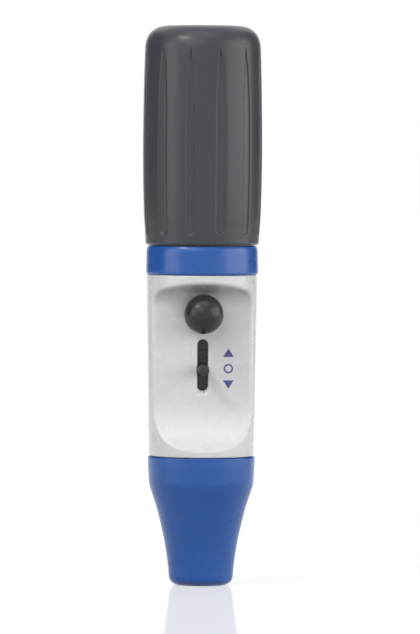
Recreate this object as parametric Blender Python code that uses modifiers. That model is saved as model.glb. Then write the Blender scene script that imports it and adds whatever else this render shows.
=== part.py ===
"""Pipette controller with a squeeze bellows, a rocking lever and two spool valves.

The controller stands on its nose. +Z runs up its length, the control panel faces -Y, and
the origin is the centre of the nose's end face. Lengths are in metres.
"""

import math

import bmesh
import bpy
from mathutils import Matrix

MM = 0.001

# Fits
GAP = 0.3 * MM
MERGE = 0.00001

# Round pieces: sides of the large shells, of the inner turned pieces and of the small ones
SHELL_SIDES = 36
INNER_SIDES = 18
SMALL_SIDES = 10

# Lengths of the four outer pieces
NOSE_LENGTH = 46.5 * MM
HOUSING_LENGTH = 67.3 * MM
COLLAR_HEIGHT = 9.9 * MM
BELLOWS_LENGTH = 80.4 * MM

# Nose cone
NOSE_TOP_RADIUS = 19.65 * MM
NOSE_SHOULDER_RADIUS = 19.2 * MM
NOSE_SHOULDER_HEIGHT = 38.0 * MM
NOSE_BREAK_RADIUS = 18.2 * MM
NOSE_BREAK_HEIGHT = 34.0 * MM
NOSE_END_RADIUS = 11.8 * MM
NOSE_END_HEIGHT = 5.0 * MM
NOSE_EDGE_RADIUS = 1.7 * MM
NOSE_SHOULDER_SLOPE = 0.05
NOSE_BREAK_SLOPE = 0.34
NOSE_END_SLOPE = 0.1
NOSE_WALL = 2.0 * MM
NOSE_MOUTH_RADIUS = 6.4 * MM
NOSE_LIP = 1.5 * MM

# Housing shell
HOUSING_TOP_RADIUS = 20.2 * MM
HOUSING_END_RADIUS = 19.35 * MM
HOUSING_WALL = 1.8 * MM
HOUSING_FLOOR = 2.0 * MM
HOUSING_CHAMFER = 0.35 * MM
FLOOR_HOLE_RADIUS = 8.0 * MM
SPIGOT_RADIUS = 16.5 * MM
SPIGOT_WALL = 1.8 * MM
SPIGOT_LENGTH = 8.6 * MM

# Control panel: a scoop whose floor is flat across and hollow along the housing
PANEL_DEPTH = 8.0 * MM
SCOOP_LOW_RADIUS = 19.0 * MM
SCOOP_LOW_HEIGHT = 19.7 * MM
SCOOP_HIGH_RADIUS = 15.5 * MM
SCOOP_HIGH_HEIGHT = 48.4 * MM

# Lever: its axis lies across the housing, behind the valves
LEVER_HEIGHT = 32.5 * MM
LEVER_ARM = 11.0 * MM
LEVER_RANGE = math.radians(15.0)
BLADE_WIDTH = 2.4 * MM
BLADE_HEIGHT = 3.0 * MM
ROCKER_WIDTH = 4.0 * MM
ROCKER_HEIGHT = 4.0 * MM
ROCKER_LENGTH = 5.0 * MM
HUB_RADIUS = 2.4 * MM
HUB_WIDTH = 4.8 * MM
PIN_RADIUS = 1.0 * MM
PIN_HEAD_RADIUS = 1.7 * MM
PIN_HEAD_LENGTH = 0.8 * MM
KNOB_RADIUS = 2.0 * MM
KNOB_LENGTH = 6.8 * MM
KNOB_STANDOFF = 2.2 * MM
KNOB_EDGE = 0.7 * MM
KNOB_RIDGE_PITCH = 1.1 * MM
KNOB_RIDGE_DEPTH = 0.3 * MM
TANG_LENGTH = 3.6 * MM
TANG_WIDTH = 1.6 * MM
TANG_HEIGHT = 2.0 * MM
KNOB_GROOVE_ANGLES = (-48, -16, 16, 48)

# Lever slot and the lip seal behind it
SLOT_WIDTH = 4.0 * MM
SLOT_ABOVE = 10.9 * MM
SLOT_BELOW = 7.9 * MM
SLOT_RAMP = 1.8 * MM
SEAL_WIDTH = 11.0 * MM
SEAL_THICKNESS = 0.8 * MM
SEAL_MARGIN = 1.6 * MM

# Spool valves, one above the lever and one below it
STEM_Y = 2.5 * MM
STEM_RADIUS = 1.4 * MM
STEM_TRAVEL = 3.0 * MM
STEM_TIP_GAP = 0.35 * MM
BORE_RADIUS = 3.2 * MM
BORE_DEPTH = 16.8 * MM
BUSH_LENGTH = 2.5 * MM
SPOOL_RADIUS = 2.6 * MM
SPOOL_LENGTH = 5.0 * MM
PILOT_RADIUS = 1.2 * MM
PILOT_LENGTH = 1.3 * MM
STEM_RING_SECTION = 0.45 * MM
STEM_RING_FIT = 0.2 * MM
SPRING_COIL_RADIUS = 2.3 * MM
SPRING_WIRE_RADIUS = 0.22 * MM
SPRING_TURNS = 4

# Valve blocks and what joins them
BLOCK_REACH = 9.3 * MM
BLOCK_HALF_WIDTH = 9.5 * MM
BLOCK_BACK_Y = 8.6 * MM
BLOCK_WALL = 1.6 * MM
BLOCK_BEVEL = 0.8 * MM
FRAME_DISC_THICKNESS = 3.0 * MM
LUG_WIDTH = 2.0 * MM
LUG_RADIUS = 2.6 * MM
POST_RADIUS = 2.3 * MM
POST_PLACES = ((-7.2 * MM, 6.0 * MM), (7.2 * MM, -2.2 * MM))
TIE_SCREW_RADIUS = 0.9 * MM
TIE_SCREW_GRIP = 8.0 * MM
FLOOR_SCREWS = 3
FLOOR_SCREW_RADIUS = 1.0 * MM
FLOOR_SCREW_CIRCLE = 11.5 * MM
SCREW_HEAD_RADIUS = 1.9 * MM
SCREW_HEAD_HEIGHT = 1.3 * MM
TUBE_PLACE = (7.2 * MM, 6.0 * MM)
TUBE_RADIUS = 2.4 * MM
NIPPLE_RADIUS = 1.3 * MM
NIPPLE_LENGTH = 3.0 * MM
PASSAGE_RADIUS = 0.8 * MM

# Blow-out bulb
BULB_RADIUS = 7.2 * MM
BULB_HEIGHT = 20.3 * MM
BULB_STANDOFF = 6.2 * MM
BULB_NECK_RADIUS = 4.2 * MM
BULB_NECK_LENGTH = 3.5 * MM
BULB_WALL = 1.4 * MM
BULB_TRAVEL = 2.2 * MM
BULB_SOCKET_WALL = 1.1 * MM

# Collar ring and bellows carrier
COLLAR_RADIUS = 20.45 * MM
COLLAR_EDGE = 0.4 * MM
CARRIER_RADIUS = 17.9 * MM
CARRIER_RISE = 11.7 * MM
CARRIER_WALL = 2.9 * MM
CARRIER_DISC = 2.4 * MM
CARRIER_FLANGE = 2.0 * MM
FLANGE_RADIUS = 19.3 * MM
CARRIER_SPIGOT = 1.8 * MM
CARRIER_RING_SECTION = 0.65 * MM
CARRIER_RING_HEIGHT = 5.7 * MM
HOSE_NIPPLE_RADIUS = 2.9 * MM
HOSE_NIPPLE_LENGTH = 13.6 * MM
HOSE_NIPPLE_WALL = 1.3 * MM
BLOCK_NIPPLE_LENGTH = 5.0 * MM
HOSE_WALL = 1.2 * MM
HOSE_OVERLAP = 6.0 * MM
EXHAUST_X = -9.0 * MM
EXHAUST_STEM_RADIUS = 1.0 * MM
EXHAUST_CAP_RADIUS = 4.0 * MM
EXHAUST_KNOB_RADIUS = 1.7 * MM
EXHAUST_VENT_RADIUS = 0.7 * MM
EXHAUST_VENT_CIRCLE = 2.6 * MM
EXHAUST_VENTS = 4

# Suction bellows
BELLOWS_FOOT_RADIUS = 20.75 * MM
BELLOWS_BELLY_RADIUS = 21.85 * MM
BELLOWS_BELLY_HEIGHT = 34.4 * MM
BELLOWS_NECK_RADIUS = 21.1 * MM
BELLOWS_TOP_ROUNDING = 8.0 * MM
BELLOWS_FOOT_ROUNDING = 1.2 * MM
BELLOWS_FOOT_SLOPE = 0.11
BELLOWS_NECK_SLOPE = -0.045
BELLOWS_WALL = 3.0 * MM
BELLOWS_GRIP = 12.0 * MM
FLUTES = 12
FLUTE_CUTTER_RADIUS = 2.4 * MM
FLUTE_DEPTH = 0.7 * MM
FLUTE_START = 3.9 * MM
FLUTE_END_BELOW_TOP = 9.0 * MM
FLUTE_POINT_LENGTH = 14.0 * MM
FLUTE_LOW_SHARE = 0.5
FLUTE_POINT_SHARE = 0.15

# Pipette adapter and membrane filter, carried in the nose cone
ADAPTER_HEIGHT = 32.2 * MM
ADAPTER_WALL = 2.2 * MM
ADAPTER_FLOOR = 9.0 * MM
SOCKET_MOUTH_RADIUS = 5.6 * MM
SOCKET_END_RADIUS = 3.6 * MM
SOCKET_DEPTH = 23.0 * MM
SOCKET_WALL = 2.0 * MM
SOCKET_LIP = 0.3 * MM
FILTER_RADIUS = 12.3 * MM
FILTER_PLATE = 1.3 * MM
FILTER_RIM = 1.6 * MM
FILTER_NIPPLE_RADIUS = 2.0 * MM
FILTER_PLUG_LENGTH = 7.0 * MM
FILTER_SPOUT_LENGTH = 9.5 * MM
FILTER_PASSAGE_RADIUS = 1.0 * MM
MEMBRANE_THICKNESS = 0.5 * MM
PORT_RADIUS = 5.0 * MM
PORT_LENGTH = 5.6 * MM
PORT_RING_SECTION = 0.5 * MM
NOSE_RING_SECTION = 0.5 * MM
NOSE_RING_DEPTH = 2.3 * MM

# Places that follow from the sizes above
HOUSING_Z = NOSE_LENGTH + GAP
COLLAR_Z = HOUSING_Z + HOUSING_LENGTH + GAP
BELLOWS_Z = COLLAR_Z + COLLAR_HEIGHT + GAP
LEVER_Z = HOUSING_Z + LEVER_HEIGHT
PIVOT_Y = STEM_Y + LEVER_ARM
PANEL_BACK_Y = -(PANEL_DEPTH - HOUSING_WALL)
SEAL_FRONT_Y = PANEL_BACK_Y + GAP
BLOCK_FRONT_Y = SEAL_FRONT_Y + SEAL_THICKNESS + GAP
FRAME_Z = HOUSING_Z + HOUSING_FLOOR + GAP
FRAME_TOP_Z = LEVER_Z - BLOCK_REACH
BLOCK_Z = LEVER_Z + BLOCK_REACH
BLOCK_TOP_Z = BLOCK_Z + BORE_DEPTH + BLOCK_WALL
BULB_Z = LEVER_Z + BULB_HEIGHT
BULB_Y = -(PANEL_DEPTH + BULB_STANDOFF)
BULB_NECK_END_Y = BULB_Y + math.sqrt(BULB_RADIUS**2 - BULB_NECK_RADIUS**2) + BULB_NECK_LENGTH
KNOB_BACK_Y = -(PANEL_DEPTH + KNOB_STANDOFF)
STEM_TIP_REACH = ROCKER_HEIGHT / 2 + STEM_TIP_GAP
SPOOL_REACH = BLOCK_REACH + BUSH_LENGTH + GAP + STEM_TRAVEL + GAP
SPOOL_END_REACH = SPOOL_REACH + SPOOL_LENGTH
ADAPTER_Z = NOSE_LIP + GAP
FILTER_Z = ADAPTER_Z + ADAPTER_HEIGHT + GAP
CARRIER_TOP_Z = COLLAR_Z + COLLAR_HEIGHT + CARRIER_RISE
NOSE_RING_RADIUS = SPIGOT_RADIUS - NOSE_RING_SECTION
CARRIER_RING_RADIUS = CARRIER_RADIUS - CARRIER_RING_SECTION
STEM_RING_RADIUS = BORE_RADIUS - STEM_RING_FIT - STEM_RING_SECTION
PORT_BORE_RADIUS = FILTER_NIPPLE_RADIUS + GAP
PORT_RING_RADIUS = PORT_BORE_RADIUS + PORT_RING_SECTION

# Colours, with roughness and metallic value
LOOKS = {
    "grey_silicone": ((0.085, 0.09, 0.1), 0.5, 0.0),
    "dark_silicone": ((0.035, 0.036, 0.04), 0.4, 0.0),
    "blue_plastic": ((0.03, 0.11, 0.42), 0.35, 0.0),
    "white_plastic": ((0.75, 0.76, 0.76), 0.35, 0.0),
    "dark_plastic": ((0.025, 0.025, 0.028), 0.4, 0.0),
    "valve_plastic": ((0.6, 0.6, 0.58), 0.45, 0.0),
    "seal_rubber": ((0.015, 0.015, 0.015), 0.6, 0.0),
    "clear_silicone": ((0.7, 0.72, 0.72), 0.5, 0.0),
    "filter_plastic": ((0.8, 0.8, 0.78), 0.4, 0.0),
    "membrane": ((0.9, 0.9, 0.88), 0.9, 0.0),
    "steel": ((0.6, 0.6, 0.6), 0.3, 1.0),
}


def empty_scene():
    """Removes what the scene holds and makes the collections for the parts and cutters."""
    for item in list(bpy.data.objects):
        bpy.data.objects.remove(item)
    for name in ("pipette_controller", "cutters"):
        group = bpy.data.collections.new(name)
        bpy.context.scene.collection.children.link(group)


def material(name):
    """Returns the named material, made once from its row in LOOKS."""
    if name in bpy.data.materials:
        return bpy.data.materials[name]
    colour, roughness, metallic = LOOKS[name]
    made = bpy.data.materials.new(name)
    made.use_nodes = True
    shader = made.node_tree.nodes["Principled BSDF"]
    shader.inputs["Base Color"].default_value = (*colour, 1.0)
    shader.inputs["Roughness"].default_value = roughness
    shader.inputs["Metallic"].default_value = metallic
    return made


def add(name, mesh, look):
    """Links an object: a part when it has a look, and otherwise a cutter."""
    item = bpy.data.objects.new(name, mesh)
    if look:
        item.data.materials.append(material(look))
        bpy.data.collections["pipette_controller"].objects.link(item)
    else:
        item.hide_render = True
        item.display_type = "WIRE"
        bpy.data.collections["cutters"].objects.link(item)
    return item


def lathe(name, outlines, look=None, sides=INNER_SIDES):
    """Turns outlines of (radius, height) points about Z, listed down their outer side.

    An outline that starts on the axis is open, and any other is closed into a ring.
    """
    points, edges = [], []
    for outline in outlines:
        first = len(points)
        points += [(radius, 0.0, height) for radius, height in outline]
        edges += [(i, i + 1) for i in range(first, len(points) - 1)]
        if outline[0][0] > 0.0:
            edges.append((len(points) - 1, first))
    mesh = bpy.data.meshes.new(name)
    mesh.from_pydata(points, edges, [])
    item = add(name, mesh, look)
    turn = item.modifiers.new("Turn", "SCREW")
    turn.steps = turn.render_steps = sides
    turn.use_merge_vertices = True
    turn.merge_threshold = MERGE
    turn.use_smooth_shade = True
    return item


def rod(name, radius, low, high, look=None, sides=SMALL_SIDES):
    """A solid cylinder about Z from one height to another."""
    return lathe(name, [[(0.0, high), (radius, high), (radius, low), (0.0, low)]], look, sides)


def box(name, low, high, look=None, bevel=0.0):
    """A box between two corners, with rounded edges if a bevel is given."""
    shape = bmesh.new()
    bmesh.ops.create_cube(shape, size=1.0)
    size = [b - a for a, b in zip(low, high)]
    centre = [(a + b) / 2 for a, b in zip(low, high)]
    bmesh.ops.scale(shape, vec=size, verts=shape.verts)
    bmesh.ops.translate(shape, vec=centre, verts=shape.verts)
    mesh = bpy.data.meshes.new(name)
    shape.to_mesh(mesh)
    shape.free()
    item = add(name, mesh, look)
    if bevel:
        rounding = item.modifiers.new("Rounding", "BEVEL")
        rounding.width = bevel
        rounding.segments = 1
    return item


def bake(item):
    """Gives an object the mesh that its modifiers or its curve make, with welded caps."""
    bpy.context.view_layer.update()
    evaluated = item.evaluated_get(bpy.context.evaluated_depsgraph_get())
    mesh = bpy.data.meshes.new_from_object(evaluated)
    shape = bmesh.new()
    shape.from_mesh(mesh)
    bmesh.ops.remove_doubles(shape, verts=shape.verts, dist=MERGE)
    bmesh.ops.recalc_face_normals(shape, faces=shape.faces)
    shape.to_mesh(mesh)
    shape.free()
    return mesh


def plate(name, outline, thickness, look=None):
    """A flat outline of (x, y) points, thickened both ways along Z."""
    flat = bpy.data.curves.new(name, "CURVE")
    flat.dimensions = "2D"
    flat.fill_mode = "BOTH"
    flat.extrude = thickness / 2
    line = flat.splines.new("POLY")
    line.points.add(len(outline) - 1)
    for point, (x, y) in zip(line.points, outline):
        point.co = (x, y, 0.0, 1.0)
    line.use_cyclic_u = True
    curve = bpy.data.objects.new(name + "_outline", flat)
    bpy.data.collections["cutters"].objects.link(curve)
    mesh = bake(curve)
    bpy.data.objects.remove(curve)
    mesh.materials.clear()
    return add(name, mesh, look)


def repeat(name, pattern, placements, look=None):
    """Makes one object from placed copies of a pattern, which is then removed."""
    source = bake(pattern)
    shape = bmesh.new()
    for placement in placements:
        copy = source.copy()
        copy.transform(placement)
        shape.from_mesh(copy)
    mesh = bpy.data.meshes.new(name)
    shape.to_mesh(mesh)
    shape.free()
    bpy.data.objects.remove(pattern)
    return add(name, mesh, look)


def place_turned(name, outline, placements, look):
    """Numbered copies of a small turned piece, each its own object at its placement."""
    for number, placement in enumerate(placements, 1):
        piece = lathe(f"{name}_{number}", [outline], look, SMALL_SIDES)
        piece.matrix_world = placement


def combine(operation, target, tools):
    """Adds a Boolean modifier to the target for each tool."""
    for tool in tools:
        step = target.modifiers.new(tool.name, "BOOLEAN")
        step.operation = operation
        step.object = tool
        step.solver = "EXACT"


def cut(target, *tools):
    combine("DIFFERENCE", target, tools)


def fuse(target, *tools):
    combine("UNION", target, tools)


def spin(count, radius, start=0.0):
    """Placements spaced round the Z axis on a circle."""
    step = math.tau / count
    return [Matrix.Rotation(start + i * step, 4, "Z") @ Matrix.Translation((radius, 0, 0))
            for i in range(count)]


def arc(centre, radius, start, end, steps):
    """Points on an arc, with its angles in degrees from the first coordinate's axis."""
    angles = [math.radians(start + (end - start) * i / steps) for i in range(steps + 1)]
    return [(centre[0] + radius * math.cos(a), centre[1] + radius * math.sin(a)) for a in angles]


def hermite(t, low, high, low_slope, high_slope):
    """The (radius, height) point at t on a curve between two points, slopes in radius
    per height."""
    rise = high[1] - low[1]
    radius = (low[0] * (2 * t**3 - 3 * t**2 + 1) + high[0] * (3 * t**2 - 2 * t**3)
              + rise * low_slope * (t**3 - 2 * t**2 + t) + rise * high_slope * (t**3 - t**2))
    return radius, low[1] + rise * t


def between(high, low, steps):
    """Evenly spaced heights from high to low, both included."""
    return [high + (low - high) * i / steps for i in range(steps + 1)]


def ring_section(radius, height, section, sides=6):
    """The outline of an O-ring, listed down its outer side."""
    return arc((radius, height), section, 90, 90 - 360 * (sides - 1) / sides, sides - 1)


def ring_groove(surface, ring_radius, height, section, side=-1):
    """Points of an O-ring's groove, downwards: in an outer surface (-1) or a bore (1)."""
    bottom = ring_radius + side * (section + GAP)
    half = section + GAP / 2
    return [(surface, height + half), (bottom, height + half),
            (bottom, height - half), (surface, height - half)]


def housing_radius(height):
    """Outer radius of the housing at a height above its lower end."""
    share = height / HOUSING_LENGTH
    return HOUSING_END_RADIUS + (HOUSING_TOP_RADIUS - HOUSING_END_RADIUS) * share


def scoop(name, offset):
    """The solid that hollows the control panel, grown by an offset to the panel's back."""
    front = housing_radius(HOUSING_LENGTH) + HOUSING_WALL
    outline = []
    low_radius, high_radius = SCOOP_LOW_RADIUS + offset, SCOOP_HIGH_RADIUS + offset
    low_depth, high_depth = PANEL_DEPTH + SCOOP_LOW_RADIUS, PANEL_DEPTH + SCOOP_HIGH_RADIUS
    low_angle = math.degrees(math.acos((low_depth - front) / low_radius))
    high_angle = math.degrees(math.acos((high_depth - front) / high_radius))
    outline += arc((-low_depth, HOUSING_Z + SCOOP_LOW_HEIGHT), low_radius, -low_angle, 0, 9)
    outline += arc((-high_depth, HOUSING_Z + SCOOP_HIGH_HEIGHT), high_radius, 0, high_angle, 9)
    solid = plate(name, outline, 3 * HOUSING_TOP_RADIUS)
    solid.rotation_euler = (math.pi / 2, 0, math.pi / 2)
    return solid


def make_housing():
    """The white shell: scooped panel, lever slot, bulb seat, floor and threaded spigot."""
    top, chamfer = HOUSING_LENGTH, HOUSING_CHAMFER
    shell = lathe("housing_shell", [[
        (0.0, top),
        (housing_radius(top) - chamfer, top),
        (housing_radius(top - chamfer), top - chamfer),
        (housing_radius(chamfer), chamfer),
        (housing_radius(0.0) - chamfer, 0.0),
        (SPIGOT_RADIUS, 0.0),
        *ring_groove(SPIGOT_RADIUS, NOSE_RING_RADIUS, -NOSE_RING_DEPTH, NOSE_RING_SECTION),
        (SPIGOT_RADIUS, chamfer - SPIGOT_LENGTH),
        (SPIGOT_RADIUS - chamfer, -SPIGOT_LENGTH),
        (SPIGOT_RADIUS - SPIGOT_WALL, -SPIGOT_LENGTH),
        (SPIGOT_RADIUS - SPIGOT_WALL, 0.0),
        (FLOOR_HOLE_RADIUS, 0.0),
        (FLOOR_HOLE_RADIUS, HOUSING_FLOOR / 2),
        (0.0, HOUSING_FLOOR / 2),
    ]], "white_plastic", SHELL_SIDES)
    shell.location.z = HOUSING_Z

    over = HOUSING_WALL
    cavity = lathe("housing_cavity", [[
        (0.0, top + over),
        (housing_radius(top + over) - HOUSING_WALL, top + over),
        (housing_radius(HOUSING_FLOOR) - HOUSING_WALL, HOUSING_FLOOR),
        (FLOOR_HOLE_RADIUS, HOUSING_FLOOR),
        (FLOOR_HOLE_RADIUS, -over),
        (0.0, -over),
    ]], None, SHELL_SIDES)
    cavity.location.z = HOUSING_Z
    cut(cavity, scoop("panel_back", HOUSING_WALL))

    cut(shell, scoop("panel_front", 0.0), cavity, slot_cutter(), slot_ramp_cutter(),
        bulb_seat_cutter(),
        floor_screw_holes("housing_screw_holes", -HOUSING_FLOOR, 2 * HOUSING_FLOOR))


def slot_cutter():
    """A round-ended slot through the panel."""
    radius = SLOT_WIDTH / 2
    outline = (arc((0, SLOT_ABOVE - radius), radius, 0, 180, 8)
               + arc((0, radius - SLOT_BELOW), radius, 180, 360, 8))
    through = plate("slot", outline, 2 * PANEL_DEPTH)
    through.location = (0, -PANEL_DEPTH, LEVER_Z)
    through.rotation_euler.x = math.pi / 2
    return through


def slot_ramp_cutter():
    """A slanted hole that turns the slot's lower end into a ramp."""
    slope = math.atan2(SLOT_RAMP, HOUSING_WALL)
    ramp = rod("slot_ramp", SLOT_WIDTH / 2, 0.0, PANEL_DEPTH)
    ramp.location = (0, PANEL_BACK_Y, LEVER_Z - SLOT_BELOW + SLOT_WIDTH / 2 / math.cos(slope))
    ramp.rotation_euler.x = math.pi / 2 + slope
    return ramp


def bulb_seat_cutter():
    """The bulb's ball, swept along its travel, with a gap all round."""
    radius = BULB_RADIUS + GAP
    outline = (arc((0, BULB_TRAVEL), radius, 90, 0, 7) + arc((0, 0), radius, 0, -90, 7))
    outline[0] = (0.0, BULB_TRAVEL + radius)
    outline[-1] = (0.0, -radius)
    seat = lathe("bulb_seat", [outline])
    seat.location = (0, BULB_Y, BULB_Z)
    seat.rotation_euler.x = -math.pi / 2
    return seat


def floor_screw_holes(name, low, high):
    """Clearance holes for the floor screws, between heights above the housing's end."""
    hole = rod(name + "_pattern", FLOOR_SCREW_RADIUS + GAP, low, high)
    holes = repeat(name, hole, spin(FLOOR_SCREWS, FLOOR_SCREW_CIRCLE, math.pi / 2))
    holes.location.z = HOUSING_Z
    return holes


def make_slot_seal():
    """A lip seal behind the panel, with a slit that the lever's blade moves in."""
    half_slit_width = BLADE_WIDTH / 2 + GAP
    reach = PIVOT_Y - SEAL_FRONT_Y
    half_slit = reach * math.tan(LEVER_RANGE) + BLADE_HEIGHT / 2 / math.cos(LEVER_RANGE) + GAP
    seal = box("slot_seal",
               (-SEAL_WIDTH / 2, SEAL_FRONT_Y, LEVER_Z - SLOT_BELOW - SEAL_MARGIN),
               (SEAL_WIDTH / 2, SEAL_FRONT_Y + SEAL_THICKNESS, LEVER_Z + SLOT_ABOVE + SEAL_MARGIN),
               "dark_silicone")
    slit = box("seal_slit",
               (-half_slit_width, SEAL_FRONT_Y - SEAL_THICKNESS, LEVER_Z - half_slit),
               (half_slit_width, SEAL_FRONT_Y + 2 * SEAL_THICKNESS, LEVER_Z + half_slit))
    cut(seal, slit)


def upright(name, radius, place, low, high, sides=SMALL_SIDES):
    """A cutter or tool cylinder that stands at a place between two heights."""
    made = rod(name, radius, low, high, None, sides)
    made.location.x, made.location.y = place
    return made


def make_valve_frame():
    """The lower valve block on its floor disc, with the lever's lugs and the filter port."""
    disc_radius = housing_radius(HOUSING_FLOOR) - HOUSING_WALL - GAP
    frame = rod("valve_frame", disc_radius, FRAME_Z, FRAME_Z + FRAME_DISC_THICKNESS,
                "valve_plastic", INNER_SIDES)
    mid_disc = FRAME_Z + FRAME_DISC_THICKNESS / 2
    body = box("frame_body", (-BLOCK_HALF_WIDTH, BLOCK_FRONT_Y, mid_disc),
               (BLOCK_HALF_WIDTH, BLOCK_BACK_Y, FRAME_TOP_Z), None, BLOCK_BEVEL)
    port = rod("frame_port", PORT_RADIUS, FRAME_Z - PORT_LENGTH, mid_disc, None, INNER_SIDES)
    nipple = upright("frame_nipple", NIPPLE_RADIUS, TUBE_PLACE, mid_disc,
                     FRAME_TOP_Z + NIPPLE_LENGTH)
    fuse(frame, body, port, nipple)
    for side in (-1, 1):
        fuse(frame, lug(side, mid_disc))

    panel_gap = scoop("panel_clearance", HOUSING_WALL + GAP)
    bore = upright("frame_bore", BORE_RADIUS, (0, STEM_Y), FRAME_TOP_Z - BORE_DEPTH,
                   FRAME_TOP_Z + GAP, INNER_SIDES)
    port_bore = lathe("port_bore", [port_bore_outline()])
    port_bore.location.z = FRAME_Z - PORT_LENGTH
    passage_z = FRAME_TOP_Z - BORE_DEPTH / 2
    tube_passage = upright("frame_passage", PASSAGE_RADIUS, TUBE_PLACE, passage_z,
                           FRAME_TOP_Z + 2 * NIPPLE_LENGTH)
    screw_depth = FRAME_Z + FRAME_DISC_THICKNESS - 2 * GAP - HOUSING_Z
    cut(frame, panel_gap, bore, port_bore, tube_passage, cross_passage("frame_cross", passage_z),
        pin_hole("frame_pin_hole"),
        tie_screw_holes("frame_tie_holes", FRAME_TOP_Z - TIE_SCREW_GRIP, FRAME_TOP_Z + GAP),
        floor_screw_holes("frame_screw_holes", 0.0, screw_depth))


def cross_passage(name, height):
    """The drilling from a valve's bore to the transfer tube."""
    across, along = TUBE_PLACE[0], TUBE_PLACE[1] - STEM_Y
    passage = rod(name, PASSAGE_RADIUS, 0.0, math.hypot(across, along))
    passage.location = (0, STEM_Y, height)
    passage.rotation_euler = (0, math.pi / 2, math.atan2(along, across))
    return passage


def port_bore_outline():
    """The filter port's bore, from above its ring groove down to its mouth."""
    top = FRAME_TOP_Z - BORE_DEPTH + GAP - FRAME_Z + PORT_LENGTH
    return [
        (0.0, top),
        (PASSAGE_RADIUS, top),
        (PASSAGE_RADIUS, PORT_LENGTH),
        (PORT_BORE_RADIUS, PORT_LENGTH),
        *ring_groove(PORT_BORE_RADIUS, PORT_RING_RADIUS, PORT_LENGTH / 2, PORT_RING_SECTION, 1),
        (PORT_BORE_RADIUS, -GAP),
        (0.0, -GAP),
    ]


def lug(side, low):
    """One of the two plates that hold the lever's pin."""
    outline = arc((PIVOT_Y, LEVER_Z), LUG_RADIUS, 0, 180, 8)
    root_y = BLOCK_BACK_Y - LUG_WIDTH
    outline += [(root_y, FRAME_TOP_Z - BLOCK_BEVEL), (root_y, low), (PIVOT_Y + LUG_RADIUS, low)]
    made = plate("lug_left" if side < 0 else "lug_right", outline, LUG_WIDTH)
    made.rotation_euler = (math.pi / 2, 0, math.pi / 2)
    made.location.x = side * (HUB_WIDTH / 2 + GAP + LUG_WIDTH / 2)
    return made


def pin_hole(name):
    """A clearance hole for the lever's pin, across the housing."""
    hole = rod(name, PIN_RADIUS + GAP, -BLOCK_HALF_WIDTH, BLOCK_HALF_WIDTH)
    hole.rotation_euler.y = math.pi / 2
    hole.location = (0, PIVOT_Y, LEVER_Z)
    return hole


def tie_screw_holes(name, low, high):
    """Clearance holes for the tie screws between two heights."""
    hole = rod(name + "_pattern", TIE_SCREW_RADIUS + GAP, low, high)
    return repeat(name, hole, [Matrix.Translation((x, y, 0)) for x, y in POST_PLACES])


def make_aspirate_block():
    """The upper valve block, with the bulb's socket and the nipple of the bellows hose."""
    block = box("aspirate_block", (-BLOCK_HALF_WIDTH, BLOCK_FRONT_Y, BLOCK_Z),
                (BLOCK_HALF_WIDTH, BLOCK_BACK_Y, BLOCK_TOP_Z), "valve_plastic", BLOCK_BEVEL)
    socket = rod("bulb_socket", BULB_NECK_RADIUS + GAP + BULB_SOCKET_WALL, -BLOCK_WALL,
                 BLOCK_FRONT_Y - SEAL_FRONT_Y, None, INNER_SIDES)
    socket.location = (0, BLOCK_FRONT_Y, BULB_Z)
    socket.rotation_euler.x = math.pi / 2
    hose_nipple = rod("block_hose_nipple", HOSE_NIPPLE_RADIUS, BLOCK_TOP_Z - BLOCK_WALL,
                      BLOCK_TOP_Z + BLOCK_NIPPLE_LENGTH, None, INNER_SIDES)
    tube_nipple = upright("block_tube_nipple", NIPPLE_RADIUS, TUBE_PLACE, BLOCK_Z - NIPPLE_LENGTH,
                          BLOCK_Z + BLOCK_WALL)
    fuse(block, socket, hose_nipple, tube_nipple)

    bore = upright("block_bore", BORE_RADIUS, (0, STEM_Y), BLOCK_Z - GAP, BLOCK_Z + BORE_DEPTH,
                   INNER_SIDES)
    neck_depth = BULB_NECK_END_Y + BULB_TRAVEL + GAP - SEAL_FRONT_Y
    neck_bore = rod("neck_bore", BULB_NECK_RADIUS + GAP, -neck_depth, GAP, None, INNER_SIDES)
    neck_bore.location = (0, SEAL_FRONT_Y, BULB_Z)
    neck_bore.rotation_euler.x = math.pi / 2
    hose_passage = rod("hose_passage", HOSE_NIPPLE_RADIUS - HOSE_NIPPLE_WALL,
                       BLOCK_Z + BORE_DEPTH - GAP, BLOCK_TOP_Z + 2 * BLOCK_NIPPLE_LENGTH)
    passage_z = BLOCK_Z + BORE_DEPTH / 2
    tube_passage = upright("block_passage", PASSAGE_RADIUS, TUBE_PLACE,
                           BLOCK_Z - 2 * NIPPLE_LENGTH, passage_z)
    bulb_passage = rod("bulb_passage", PASSAGE_RADIUS, 0.0, STEM_Y - SEAL_FRONT_Y)
    bulb_passage.location = (0, STEM_Y, BULB_Z)
    bulb_passage.rotation_euler.x = math.pi / 2
    cut(block, bore, neck_bore, hose_passage, tube_passage, bulb_passage,
        cross_passage("block_cross", passage_z),
        tie_screw_holes("block_tie_holes", BLOCK_Z - GAP, BLOCK_TOP_Z + GAP))


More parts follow.
